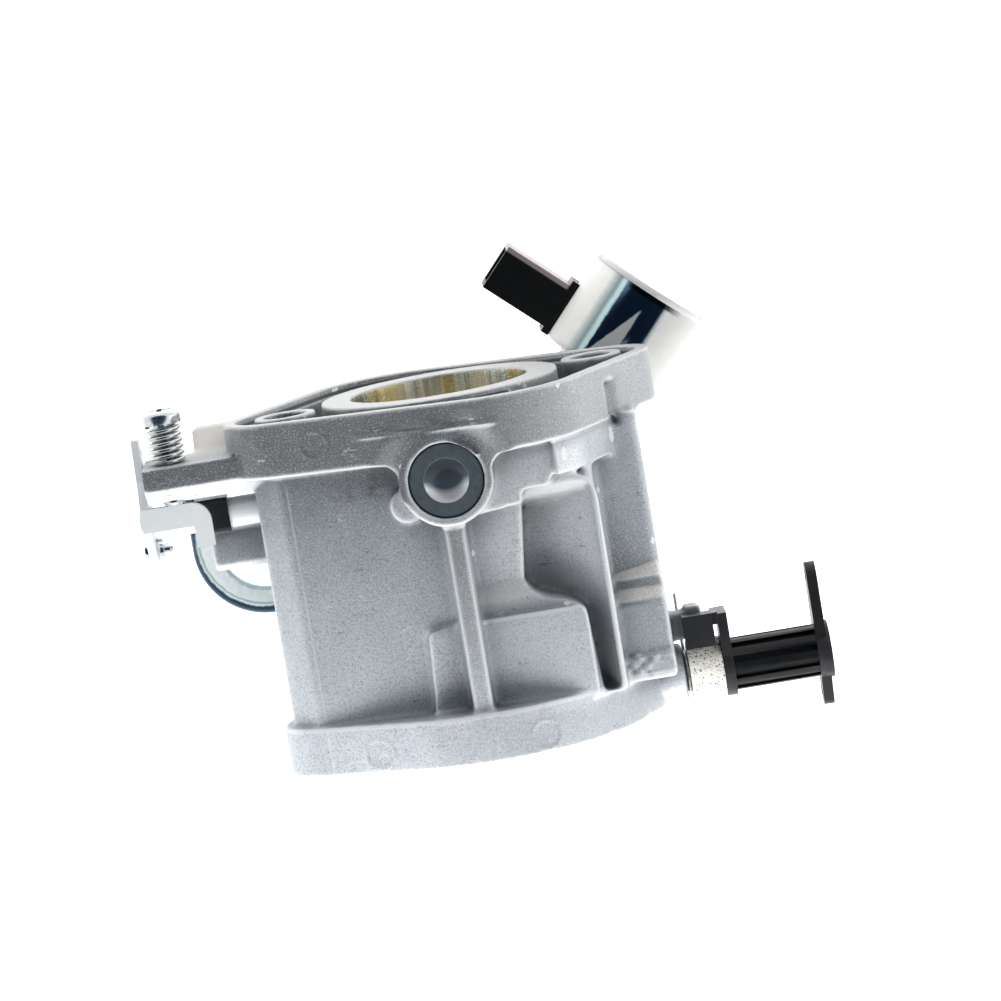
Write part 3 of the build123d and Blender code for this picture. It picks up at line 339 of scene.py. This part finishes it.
def cast_alloy():
    """Sand-textured die casting, with a machined engine face and a polished bore."""
    m = Material("cast_alloy")
    grain = m.noise(2.2, 3.0, 0.8)
    speckle = m.noise(3.4, 2.0, 0.8)
    cloud = m.noise(0.09, 3.0)
    _, facing_y, facing_z = m.normal_axes()
    color = m.mix(m.ramp(cloud, 0.35, 0.65), (0.66, 0.705, 0.745), (0.74, 0.785, 0.82))
    color = flange_grey_and_painted_shade(m, facing_z, color)
    color = painted_light_patches(m, color)
    color = darker_right_side(m, color)
    color = wall_steps(m, facing_y, color)
    color = sand_texture(m, grain, speckle, color)
    color = pad_ramp(m, facing_z, color)
    color = painted_edge_and_slope_light(m, facing_y, facing_z, color)
    color = casting_flaws(m, cloud, color)
    color = wear_highlights_and_corner_shade(m, color)
    color = painted_recess_shade(m, facing_y, color)
    machined = m.ramp(m.y, -0.30, -0.16)
    turned = m.noise(3.0, 2.0, 0.5, stretch=(0.4, 8.0, 0.4))
    color = m.mix(machined, color, m.mix(turned, (0.54, 0.54, 0.54), (0.64, 0.64, 0.63)))
    rough = m.blend_value(machined, m.ramp(grain, 0.2, 0.8, 0.42, 0.60), 0.40)
    # painted reflection: the polished bore is coloured in bands as it mirrors the brass plate
    bore = m.product(m.ramp(m.distance((m.x, 0), (m.z, 0)), 18.3, 18.1), m.ramp(m.y, -0.5, -0.3, 1, 0))
    bands = m.noise(0.16, 3.0, 0.6, stretch=(1.0, 0.05, 0.3))
    fine_bands = m.noise(0.9, 2.0, 0.5, stretch=(1.0, 0.03, 0.3))
    painted_brass_reflection = m.mix(m.ramp(bands, 0.42, 0.55), (0.80, 0.68, 0.34), (0.78, 0.80, 0.77))
    painted_brass_reflection = m.mix(m.ramp(fine_bands, 0.35, 0.6, 0.55, 0), painted_brass_reflection, (0.25, 0.20, 0.09))
    normal = m.bump(speckle, 0.6, 0.08, m.bump(grain, 0.9, 0.18))
    return m.finish(m.mix(bore, color, painted_brass_reflection), m.blend_value(bore, rough, 0.16),
                    m.blend_value(bore, 0.6, 1.0), normal)


# ---- platings -----------------------------------------------------------------------------------
def zinc_steel():
    """Bright zinc plate with a faint blue cast and soft rolling marks."""
    m = Material("zinc_steel")
    cloud = m.noise(0.12, 2.0, 0.5)
    fine = m.noise(3.5, 3.0, 0.6)
    color = m.mix(m.ramp(cloud, 0.4, 0.65), (0.84, 0.88, 0.90), (0.76, 0.81, 0.84))
    color = m.mix(m.product(m.sharpness_ramp(), 0.4), color, (0.95, 0.96, 0.95))
    return m.finish(color, m.ramp(cloud, 0.3, 0.7, 0.12, 0.20), 1.0, m.bump(fine, 0.08, 0.02))


def dull_zinc():
    """Thicker zinc plate on stamped sheet, almost white with a satin surface."""
    m = Material("dull_zinc")
    cloud = m.noise(0.3, 3.0)
    fine = m.noise(2.8, 3.0, 0.6)
    color = m.mix(m.ramp(cloud, 0.35, 0.65), (0.90, 0.94, 0.96), (0.95, 0.97, 0.98))
    color = m.mix(m.ramp(fine, 0.30, 0.42, 0.25, 0), color, (0.62, 0.68, 0.70))
    return m.finish(color, m.ramp(fine, 0.3, 0.7, 0.30, 0.42), 0.0, m.bump(fine, 0.2, 0.04))


def plug_zinc():
    """Passivated zinc on the pressed plug, with painted shade round its edge and in the upper part of its punched
    dimple, and a painted highlight in a crescent low in the dimple.
    """
    m = Material("plug_zinc")
    fine = m.noise(2.5, 3.0, 0.65)
    cloud = m.noise(0.5, 2.0)
    radius = m.distance((m.x, PLUG_X), (m.y, PLUG_Y))
    higher = m.maths("SUBTRACT", m.y, PLUG_Y)
    rim_color = m.mix(m.ramp(cloud, 0.35, 0.65), (0.42, 0.50, 0.50), (0.55, 0.60, 0.60))
    # painted shade round the plug's edge
    rim_color = m.mix(m.ramp(radius, 6.9, 7.25), rim_color, (0.03, 0.04, 0.04))
    # painted highlight in a crescent and painted shade in the dimple
    from_shade = m.distance((m.x, PLUG_X), (m.y, PLUG_Y + 1.8))
    painted_crescent = m.product(m.ramp(from_shade, 3.5, 4.7), m.ramp(higher, 0.3, -1.4))
    painted_dimple_shade = m.mix(m.ramp(higher, 2.6, -1.6), (0.012, 0.018, 0.024), (0.10, 0.13, 0.16))
    dimple_color = m.mix(painted_crescent, painted_dimple_shade, (0.90, 0.92, 0.94))
    on_rim = m.ramp(radius, 4.3, 4.45)
    return m.finish(m.mix(on_rim, dimple_color, rim_color), m.blend_value(on_rim, 0.20, 0.40),
                    m.blend_value(on_rim, 0.15, 1.0), m.bump(fine, 0.25, 0.03))


def solenoid_axes(m):
    """Distances along the solenoid axis from the post, and across it towards the connector."""
    from_post = m.maths("SUBTRACT", m.y, POST_Y)
    along = m.maths("ADD", m.product(m.x, SOLENOID_X), m.product(from_post, SOLENOID_Y))
    across = m.maths("SUBTRACT", m.product(from_post, SOLENOID_X), m.product(m.x, SOLENOID_Y))
    return along, across


def can_zinc():
    """Bright zinc on the solenoid can with satin sides, and painted light on it: a dark reflection band with a
    pale wedge, a pale highlight streak, painted shade past the streak and a painted shadow under the disc.
    """
    m = Material("can_zinc")
    along, across = solenoid_axes(m)
    disc_face = 70.1
    from_disc = m.maths("SUBTRACT", disc_face, along)
    uneven = m.noise(0.5, 3.0, 0.6)
    across = m.maths("ADD", across, m.ramp(uneven, 0.3, 0.7, -0.10, 0.10))
    # painted reflection, highlight and shade in bands along the can
    band = m.between(across, (-4.4, -3.0), (5.8, 6.2))
    streak = m.between(across, (5.6, 6.2), (6.6, 7.3))
    shade = m.between(across, (6.4, 7.2), (7.6, 9.3))
    # painted pale reflection in the band, a wedge wider away from the disc
    wedge_start, wedge_slope, wedge_tip = 5.0, 0.378, 0.8
    widening = m.product(m.maths("SUBTRACT", from_disc, wedge_start), wedge_slope)
    wedge_top = m.maths("ADD", widening, wedge_tip)
    wedge = m.product(m.ramp(m.maths("SUBTRACT", wedge_top, across), 0.0, 0.35),
                      m.ramp(across, 0.3, 0.7), m.ramp(from_disc, 4.8, 5.6))
    painted_disc_shadow = m.product(m.ramp(from_disc, 2.6, 2.2), m.between(across, (-7.0, -4.0), (5.2, 5.6)))
    painted_band_color = m.mix(m.ramp(uneven, 0.4, 0.65), (0.10, 0.19, 0.32), (0.16, 0.18, 0.20))
    color = m.mix(m.ramp(uneven, 0.35, 0.65), (0.92, 0.91, 0.87), (0.96, 0.95, 0.91))
    for mask, tone in ((shade, (0.30, 0.40, 0.42)), (streak, (0.72, 0.97, 0.98)), (band, painted_band_color),
                       (painted_disc_shadow, (0.03, 0.05, 0.05)), (wedge, (0.50, 0.50, 0.49))):
        color = m.mix(mask, color, tone)
    return m.finish(color, m.blend_value(band, 0.35, 0.14), m.maths("SUBTRACT", band, wedge))


def disc_zinc():
    """Satin white zinc on the solenoid's end disc, with a few grey clouds."""
    m = Material("disc_zinc")
    cloud = m.noise(0.35, 3.0)
    fine = m.noise(2.8, 3.0, 0.6)
    color = m.mix(m.ramp(cloud, 0.55, 0.72), (0.97, 0.94, 0.93), (0.66, 0.68, 0.66))
    return m.finish(color, m.ramp(fine, 0.3, 0.7, 0.35, 0.5), 0.0, m.bump(fine, 0.15, 0.03))


def tube_zinc():
    """Zinc on the inlet tube, clear on the inside of the bend, with a painted dark reflection along the outside, a
    painted glint just inside it and a painted teal reflection along the inner edge.
    """
    m = Material("tube_zinc")
    bend_x, bend_y = -40.4, -28.2
    fine = m.noise(0.8, 3.0, 0.6)
    radius = m.distance((m.x, bend_x), (m.y, bend_y))
    radius = m.maths("ADD", radius, m.ramp(fine, 0.3, 0.7, -0.15, 0.15))
    # the painted dark side widens towards the body
    from_bend = m.maths("SUBTRACT", m.y, bend_y)
    dark_from = m.maths("ADD", m.product(from_bend, 0.07), 13.7)
    past_edge = m.maths("SUBTRACT", radius, dark_from)
    # painted dark reflection along the outside of the bend
    outside = m.ramp(past_edge, -0.2, 0.35)
    painted_glint = m.between(past_edge, (-0.9, -0.6), (-0.3, -0.1))
    color = m.mix(m.ramp(fine, 0.35, 0.65), (0.80, 0.86, 0.85), (0.90, 0.94, 0.93))
    # painted glint and painted teal reflection along the inner edge
    color = m.mix(m.largest(painted_glint, m.ramp(radius, 10.0, 9.6)), color, (0.34, 0.46, 0.50))
    color = m.mix(outside, color, (0.025, 0.06, 0.09))
    return m.finish(color, 0.22, outside, m.bump(fine, 0.05, 0.02))


def screw_steel():
    """Polished zinc on the idle screw, rubbed at its edges."""
    m = Material("screw_steel")
    cloud = m.noise(0.6, 3.0)
    fine = m.noise(3.0, 3.0, 0.6)
    color = m.mix(m.ramp(cloud, 0.35, 0.65), (0.62, 0.65, 0.66), (0.74, 0.76, 0.76))
    color = m.mix(m.product(m.sharpness_ramp(), 0.5), color, (0.92, 0.93, 0.93))
    return m.finish(color, m.ramp(fine, 0.3, 0.7, 0.16, 0.26), 1.0, m.bump(fine, 0.12, 0.02))


# ---- other metals -------------------------------------------------------------------------------
def spring_steel():
    m = Material("spring_steel")
    fine = m.noise(6.0, 2.0, 0.6)
    color = m.mix(fine, (0.78, 0.78, 0.76), (0.62, 0.63, 0.62))
    return m.finish(color, m.ramp(fine, 0.3, 0.7, 0.16, 0.28), 1.0, m.bump(fine, 0.15, 0.02))


def brass():
    m = Material("brass")
    turned = m.noise(1.2, 3.0, 0.6, stretch=(0.3, 0.3, 5.0))
    color = m.mix(turned, (0.80, 0.66, 0.34), (0.66, 0.52, 0.24))
    return m.finish(color, m.ramp(turned, 0.3, 0.7, 0.20, 0.36), 1.0, m.bump(turned, 0.1, 0.03))


def copper_wire():
    m = Material("copper_wire")
    fine = m.noise(2.0, 3.0)
    color = m.mix(fine, (0.55, 0.22, 0.10), (0.66, 0.32, 0.16))
    return m.finish(color, 0.3, 1.0, m.bump(fine, 0.2, 0.04))


# ---- plastics, rubber, foam and paper -----------------------------------------------------------
def satin_black(m, lighter, worn, worn_color):
    """Glass-filled moulding: near black, mottled up to a lighter black, and paler by the given share."""
    cloud = m.noise(0.5, 3.0)
    fine = m.noise(5.0, 3.0, 0.65)
    color = m.mix(cloud, (0.005, 0.006, 0.006), lighter)
    color = m.mix(worn, color, worn_color)
    return m.finish(color, m.ramp(cloud, 0.3, 0.7, 0.28, 0.42), 0.0, m.bump(fine, 0.2, 0.03),
                    Specular_IOR_Level=0.32)


def black_plastic():
    """Black moulding, faintly worn on its edges."""
    m = Material("black_plastic")
    worn = m.product(m.sharpness_ramp(), 0.4)
    return satin_black(m, (0.010, 0.010, 0.011), worn, (0.05, 0.05, 0.055))


def connector_plastic():
    """Black moulding, paler along its edge nearest the disc."""
    m = Material("connector_plastic")
    along, across = solenoid_axes(m)
    near_disc = m.product(m.ramp(along, 59.6, 59.9), m.ramp(across, 14.6, 15.2))
    return satin_black(m, (0.009, 0.009, 0.010), near_disc, (0.50, 0.44, 0.43))


def float_plastic():
    m = Material("float_plastic")
    fine = m.noise(3.0, 3.0)
    color = m.mix(fine, (0.03, 0.03, 0.032), (0.06, 0.06, 0.062))
    return m.finish(color, 0.5, 0.0, m.bump(fine, 0.3, 0.05))


def rubber_tip():
    m = Material("rubber_tip")
    fine = m.noise(4.0, 3.0)
    color = m.mix(fine, (0.012, 0.012, 0.012), (0.03, 0.03, 0.03))
    return m.finish(color, 0.7, 0.0, m.bump(fine, 0.3, 0.05))


def foam():
    """Cream open-cell foam with dark open pores."""
    m = Material("foam")
    pores = m.cells(1.5)
    small = m.cells(3.4)
    patchy = m.noise(0.45, 2.0)
    tone = m.noise(0.9, 3.0)
    color = m.mix(tone, (0.80, 0.77, 0.69), (0.90, 0.88, 0.82))
    hole = m.product(m.ramp(pores, 0.22, 0.32, 1, 0), m.ramp(patchy, 0.34, 0.48))
    speck = m.product(m.ramp(small, 0.20, 0.32, 0.8, 0), m.ramp(patchy, 0.34, 0.54))
    color = m.mix(m.largest(hole, speck), color, (0.10, 0.09, 0.08))
    return m.finish(color, 0.95, 0.0, m.bump(m.maths("MINIMUM", pores, small), 0.7, 0.25))


def fibre():
    m = Material("fibre")
    fine = m.noise(2.2, 4.0, 0.7)
    color = m.mix(fine, (0.15, 0.14, 0.12), (0.30, 0.28, 0.24))
    return m.finish(color, 0.85, 0.0, m.bump(fine, 0.4, 0.06))


def paper():
    """White floor that glows: fully where the camera sees it, a little less as a light."""
    m = Material("paper")
    camera_ray = m.node("ShaderNodeLightPath").outputs["Is Camera Ray"]
    color = m.mix(m.noise(0.4), (0.90, 0.90, 0.90), (0.92, 0.92, 0.92))
    glow = m.largest(camera_ray, 0.85)
    return m.finish(color, 0.9, Emission_Color=(1, 1, 1, 1), Emission_Strength=glow)


# one material for each slot of the record, named as the slot is
MATERIALS = {make.__name__: make() for make in (
    cast_alloy, zinc_steel, spring_steel, brass, black_plastic, float_plastic, rubber_tip, foam,
    fibre, copper_wire)}
sheet_zinc = dull_zinc()
# pieces with a material of their own
OWN_MATERIALS = {
    "throttle_lever": sheet_zinc, "throttle_shaft": sheet_zinc, "solenoid_neck": sheet_zinc,
    "expansion_plug": plug_zinc(), "idle_speed_screw": screw_steel(), "solenoid_can": can_zinc(),
    "solenoid_end_disc": disc_zinc(), "fuel_inlet_tube": tube_zinc(),
    "solenoid_connector": connector_plastic(),
}
for part in frame["record"]["subparts"]:
    name = part["node"]
    nodes[name].data.materials.clear()
    nodes[name].data.materials.append(OWN_MATERIALS.get(name, MATERIALS[part["material_slot"]]))


# ---- mesh helpers -------------------------------------------------------------------------------
def remeshed(source, name, voxel):
    """A new closed mesh over the CAD node's surface, as even quads."""
    copy = source.data.copy()
    holder = bpy.data.objects.new(name, copy)
    bpy.context.scene.collection.objects.link(holder)
    weld = holder.modifiers.new("weld", "WELD")
    weld.merge_threshold = WELD
    grid = holder.modifiers.new("grid", "REMESH")
    grid.mode = "VOXEL"
    grid.voxel_size = voxel
    bpy.context.view_layer.update()
    evaluated = holder.evaluated_get(bpy.context.evaluated_depsgraph_get())
    mesh = bpy.data.meshes.new_from_object(evaluated)
    holder.modifiers.clear()
    holder.data = mesh
    bpy.data.meshes.remove(copy)
    return holder


def read_vectors(items, key):
    """One row for each item of a mesh collection."""
    values = np.empty(len(items) * 3)
    items.foreach_get(key, values)
    return values.reshape(-1, 3)


def write_points(mesh, points):
    mesh.vertices.foreach_set("co", points.ravel())
    mesh.update()


def relax(mesh, share, rounds):
    """Laplacian smoothing, each point by its own share."""
    points = read_vectors(mesh.vertices, "co")
    count = len(points)
    edges = np.empty(len(mesh.edges) * 2, np.int64)
    mesh.edges.foreach_get("vertices", edges)
    first, second = edges.reshape(-1, 2).T
    degree = np.bincount(first, minlength=count) + np.bincount(second, minlength=count)
    for _ in range(rounds):
        total = np.empty_like(points)
        for k in range(3):
            total[:, k] = (np.bincount(first, points[second, k], count)
                           + np.bincount(second, points[first, k], count))
        points += share[:, None] * 0.5 * (total / degree[:, None] - points)
    write_points(mesh, points)


def ease(value, low, high):
    """0 below low, 1 above high, smooth between."""
    t = np.clip((value - low) / (high - low), 0, 1)
    return t * t * (3 - 2 * t)


def bell(offset, width, sharpness=2):
    """1 at no offset, falling to nothing past the width; sharper means flatter on top."""
    return np.exp(-(offset / width) ** sharpness)


def lumps(points, size):
    """Smooth uneven height from -1 to 1, with lumps of the given size."""
    waves = ((1.0, 0.31, 0.7, 0.0), (-0.42, 1.0, 0.36, 1.3), (0.53, -0.61, 1.0, 2.9),
             (1.31, 0.9, -0.77, 4.1), (-0.9, 1.43, 1.1, 0.6))
    total = sum(np.sin((points @ np.array(wave[:3])) / size * 2.1 + wave[3] * 3) for wave in waves)
    return total / len(waves)


def along_segment(x, y, start, end):
    """Distance to a segment in the XY plane, and the share along it."""
    ax, ay = start
    dx, dy = end[0] - ax, end[1] - ay
    t = np.clip(((x - ax) * dx + (y - ay) * dy) / (dx * dx + dy * dy), 0, 1)
    return np.hypot(x - ax - t * dx, y - ay - t * dy), t


# ---- casting: the CAD body remeshed, with the soft rounded edges of a die casting ---------------
VOXEL, QUICK_VOXEL = 0.38, 0.8
RELAX_ROUNDS, QUICK_ROUNDS = 11, 2
# front outline of the engine flange: a straight side as far as JOIN_X, then the belly's arc
SIDE_X, SIDE_Z, SIDE_SLOPE = -35.3, 20.0, 0.368
JOIN_X = 2.1
BELLY_X, BELLY_Z, BELLY_R = 9.0, 15.0, 20.0
# distances from the plug's centre between which the flange front rises to the boss face
BLEND_START, BLEND_END = 8.6, 14.5
BOSS_Z = 33.0
# the skin that rises: this close to the front, above a height, within a stretch of Y, outside the seat
SKIN_DEPTH, SKIN_LOWEST_Z = 0.9, 26.5
SKIN_BACK_Y, SKIN_FRONT_Y = -18.5, -0.8
PLUG_SEAT_R = 7.7
# round ejector marks: centre and radius
EJECTOR_MARKS = ((-25.8, -5.1, 2.6), (10.0, -67.7, 2.8), (-23.0, -67.5, 2.8))
SCRATCH = ((-19.0, -4.7), (11.4, -4.9))
TORN_X, TORN_Y = 30.5, -59.4
NOTCH_X = 33.4


def join_boss(points):
    """Raises the flange front up to the plug boss, so that the two meet without a step."""
    x, y, z = points.T
    side = SIDE_Z + (x - SIDE_X) * SIDE_SLOPE
    belly = BELLY_Z + np.sqrt(np.maximum(BELLY_R ** 2 - (x - BELLY_X) ** 2, 0))
    flange_front = np.where(x < JOIN_X, side, belly)
    from_plug = np.hypot(x - PLUG_X, y - PLUG_Y)
    target = flange_front + (BOSS_Z - flange_front) * (1 - ease(from_plug, BLEND_START, BLEND_END))
    left_skin_z = np.maximum(flange_front - SKIN_DEPTH, SKIN_LOWEST_Z)
    skin = z > np.where(x < PLUG_X, left_skin_z, BOSS_Z - SKIN_DEPTH)
    joined = skin & (y > SKIN_BACK_Y) & (y < SKIN_FRONT_Y) & (from_plug > PLUG_SEAT_R)
    joined &= from_plug < BLEND_END
    points[joined, 2] = target[joined]


def softness(points):
    """Share of the relaxing for each point: less on the engine face, the bore and the plug seat."""
    x, y, z = points.T
    crisp = (y > -1.0) | (np.hypot(x, z) < 20.5) | (np.hypot(x - PLUG_X, y - PLUG_Y) < 8.2)
    return np.where(crisp, 0.30, 1.0)


def surface_marks(points, normals):
    """Height of the marks left by the die and by handling."""
    x, y, z = points.T
    front = ease(normals[:, 2], 0.5, 0.8) * (z > 5)
    distance, share = along_segment(x, y, *SCRATCH)
    lift = 0.42 * bell(distance, 0.5) * ease(share, 0, 0.12) * (1 - ease(share, 0.9, 1)) * front
    for mark_x, mark_y, mark_r in EJECTOR_MARKS:
        off_ring = np.hypot(x - mark_x, y - mark_y) - mark_r
        lift += (0.14 * bell(off_ring, 0.35) - 0.10 * (off_ring < 0)) * front
    notch = bell(x - NOTCH_X, 0.85) * ease(y, -13.2, -11.5) * (1 - ease(y, -4.0, -2.6))
    lift -= 1.3 * notch * ease(normals[:, 2] + normals[:, 0], 0.3, 0.8) * (z > 0)
    torn = bell(x - TORN_X, 3.6, 4) * bell(y - TORN_Y, 2.4, 4) * front
    lift += 0.42 * torn * lumps(points, 1.1)
    lift += 0.05 * lumps(points, 5.0) * front
    return lift


def make_casting():
    casting = remeshed(nodes["carburetor_body"], "casting", VOXEL * MM)
    mesh = casting.data
    points = read_vectors(mesh.vertices, "co") / MM
    join_boss(points)
    write_points(mesh, points * MM)
    relax(mesh, softness(points), RELAX_ROUNDS)
    points = read_vectors(mesh.vertices, "co") / MM
    normals = read_vectors(mesh.vertex_normals, "vector")
    points += normals * surface_marks(points, normals)[:, None]
    write_points(mesh, points * MM)
    mesh.materials.clear()
    mesh.materials.append(MATERIALS["cast_alloy"])
    mesh.shade_smooth()
    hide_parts("carburetor_body")
    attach(casting, "body")


# ---- the other CAD nodes keep their shape and get softened edges --------------------------------
def soften_edges(piece):
    weld = piece.modifiers.new("weld", "WELD")
    weld.merge_threshold = WELD
    bevel = piece.modifiers.new("bevel", "BEVEL")
    bevel.width = 0.14 * MM
    bevel.segments = 2
    bevel.limit_method = "ANGLE"
    bevel.angle_limit = math.radians(38)
    bevel.harden_normals = True


make_casting()
for node_name, piece in nodes.items():
    if node_name != "carburetor_body":
        soften_edges(piece)


# ---- floor and lights ---------------------------------------------------------------------------
def make_floor(height):
    half = 2.0
    corners = [(-half, -half, 0), (half, -half, 0), (half, half, 0), (-half, half, 0)]
    mesh = bpy.data.meshes.new("floor")
    mesh.from_pydata(corners, [], [(0, 1, 2, 3)])
    mesh.materials.append(paper())
    floor = bpy.data.objects.new("floor", mesh)
    floor.location.z = height
    bpy.context.scene.collection.objects.link(floor)
    floor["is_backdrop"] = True


def softbox(name, place, aim, size, power):
    lamp = bpy.data.lights.new(name, "AREA")
    lamp.shape = "RECTANGLE"
    lamp.size, lamp.size_y = size
    lamp.energy = power
    holder = bpy.data.objects.new(name, lamp)
    holder.location = place
    direction = Vector(aim) - Vector(place)
    holder.rotation_euler = direction.to_track_quat("-Z", "Y").to_euler()
    bpy.context.scene.collection.objects.link(holder)
    return holder


low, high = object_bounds()
make_floor(low.z - 0.5 * MM)
softbox("softbox_right", (0.75, -0.02, 0.25), (0, -0.03, 0), (0.3, 0.5), 0.55)
# fills that light matte surfaces only
for name, place, aim, size, power in (
    ("softbox_near", (-0.005, -0.128, 0.082), (0, -0.055, 0.02), (0.26, 0.06), 0.25),
    ("softbox_above", (0, 0.50, -0.03), (0, 0, 0), (0.5, 0.2), 2.6),
    ("softbox_below", (-0.05, -0.45, -0.02), (0, -0.03, 0), (0.5, 0.2), 2.2),
):
    fill = softbox(name, place, aim, size, power)
    fill.visible_glossy = False
    fill.visible_camera = False


# ---- white tent all round, with a dark opening round the camera ---------------------------------
OPENING_AXIS = (-0.12, 0.10, 1.0)
# shares of the way from straight behind the object to the opening, and the tent's color there
TENT_STOPS = ((0.30, (0.66, 0.69, 0.72)), (0.48, (0.92, 0.95, 0.98)), (0.83, (0.95, 0.98, 1.0)),
              (0.87, (0.020, 0.036, 0.060)))
MATTE_STRENGTH = 0.45  # the tent lights matte surfaces less than it shows in the bright ones


def make_tent():
    world = bpy.data.worlds.new("studio")
    bpy.context.scene.world = world
    world.use_nodes = True
    tree = world.node_tree
    background = tree.nodes["Background"]
    # cosine of the angle between the direction looked in and the opening
    cosine = tree.nodes.new("ShaderNodeVectorMath")
    cosine.operation = "DOT_PRODUCT"
    cosine.inputs[1].default_value = Vector(OPENING_AXIS).normalized()
    tree.links.new(tree.nodes.new("ShaderNodeTexCoord").outputs["Generated"], cosine.inputs[0])
    share = tree.nodes.new("ShaderNodeMapRange")
    share.inputs["From Min"].default_value = -1.0
    tree.links.new(cosine.outputs["Value"], share.inputs["Value"])
    tones = tree.nodes.new("ShaderNodeValToRGB")
    tones.color_ramp.interpolation = "EASE"
    stops = tones.color_ramp.elements
    while len(stops) < len(TENT_STOPS):
        stops.new(1.0)
    for stop, (position, tone) in zip(stops, TENT_STOPS):
        stop.position = position
        stop.color = (*tone, 1)
    tree.links.new(share.outputs["Result"], tones.inputs["Fac"])
    tree.links.new(tones.outputs["Color"], background.inputs["Color"])
    strength = tree.nodes.new("ShaderNodeMapRange")
    strength.inputs["To Min"].default_value = 1.0
    strength.inputs["To Max"].default_value = MATTE_STRENGTH
    matte_ray = tree.nodes.new("ShaderNodeLightPath").outputs["Is Diffuse Ray"]
    tree.links.new(matte_ray, strength.inputs["Value"])
    tree.links.new(strength.outputs["Result"], background.inputs["Strength"])


# ---- camera: almost straight down on the front, rolled about its own line of sight --------------
TILT = math.radians(7.9)
ROLL = math.radians(9.4)
DISTANCE = 1.0
VIEW_WIDTH = 0.2002
SENSOR_WIDTH = 36
AIM = Vector((0.0084, -0.0251, 0.0))


def make_camera():
    toward = Vector((0, math.sin(TILT), math.cos(TILT)))
    up_flat = Vector((0, math.cos(TILT), -math.sin(TILT)))
    right_flat = Vector((1, 0, 0))
    up = math.sin(ROLL) * right_flat + math.cos(ROLL) * up_flat
    right = math.cos(ROLL) * right_flat - math.sin(ROLL) * up_flat
    data = bpy.data.cameras.new("camera")
    data.sensor_width = SENSOR_WIDTH
    data.lens = SENSOR_WIDTH * DISTANCE / VIEW_WIDTH
    data.clip_start = 0.05
    data.clip_end = 10
    camera = bpy.data.objects.new("camera", data)
    facing = Matrix((right, up, toward)).transposed().to_4x4()
    camera.matrix_world = Matrix.Translation(AIM + DISTANCE * toward) @ facing
    bpy.context.scene.collection.objects.link(camera)
    bpy.context.scene.camera = camera


make_tent()
make_camera()
bpy.context.scene.view_settings.view_transform = "Standard"

low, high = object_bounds()
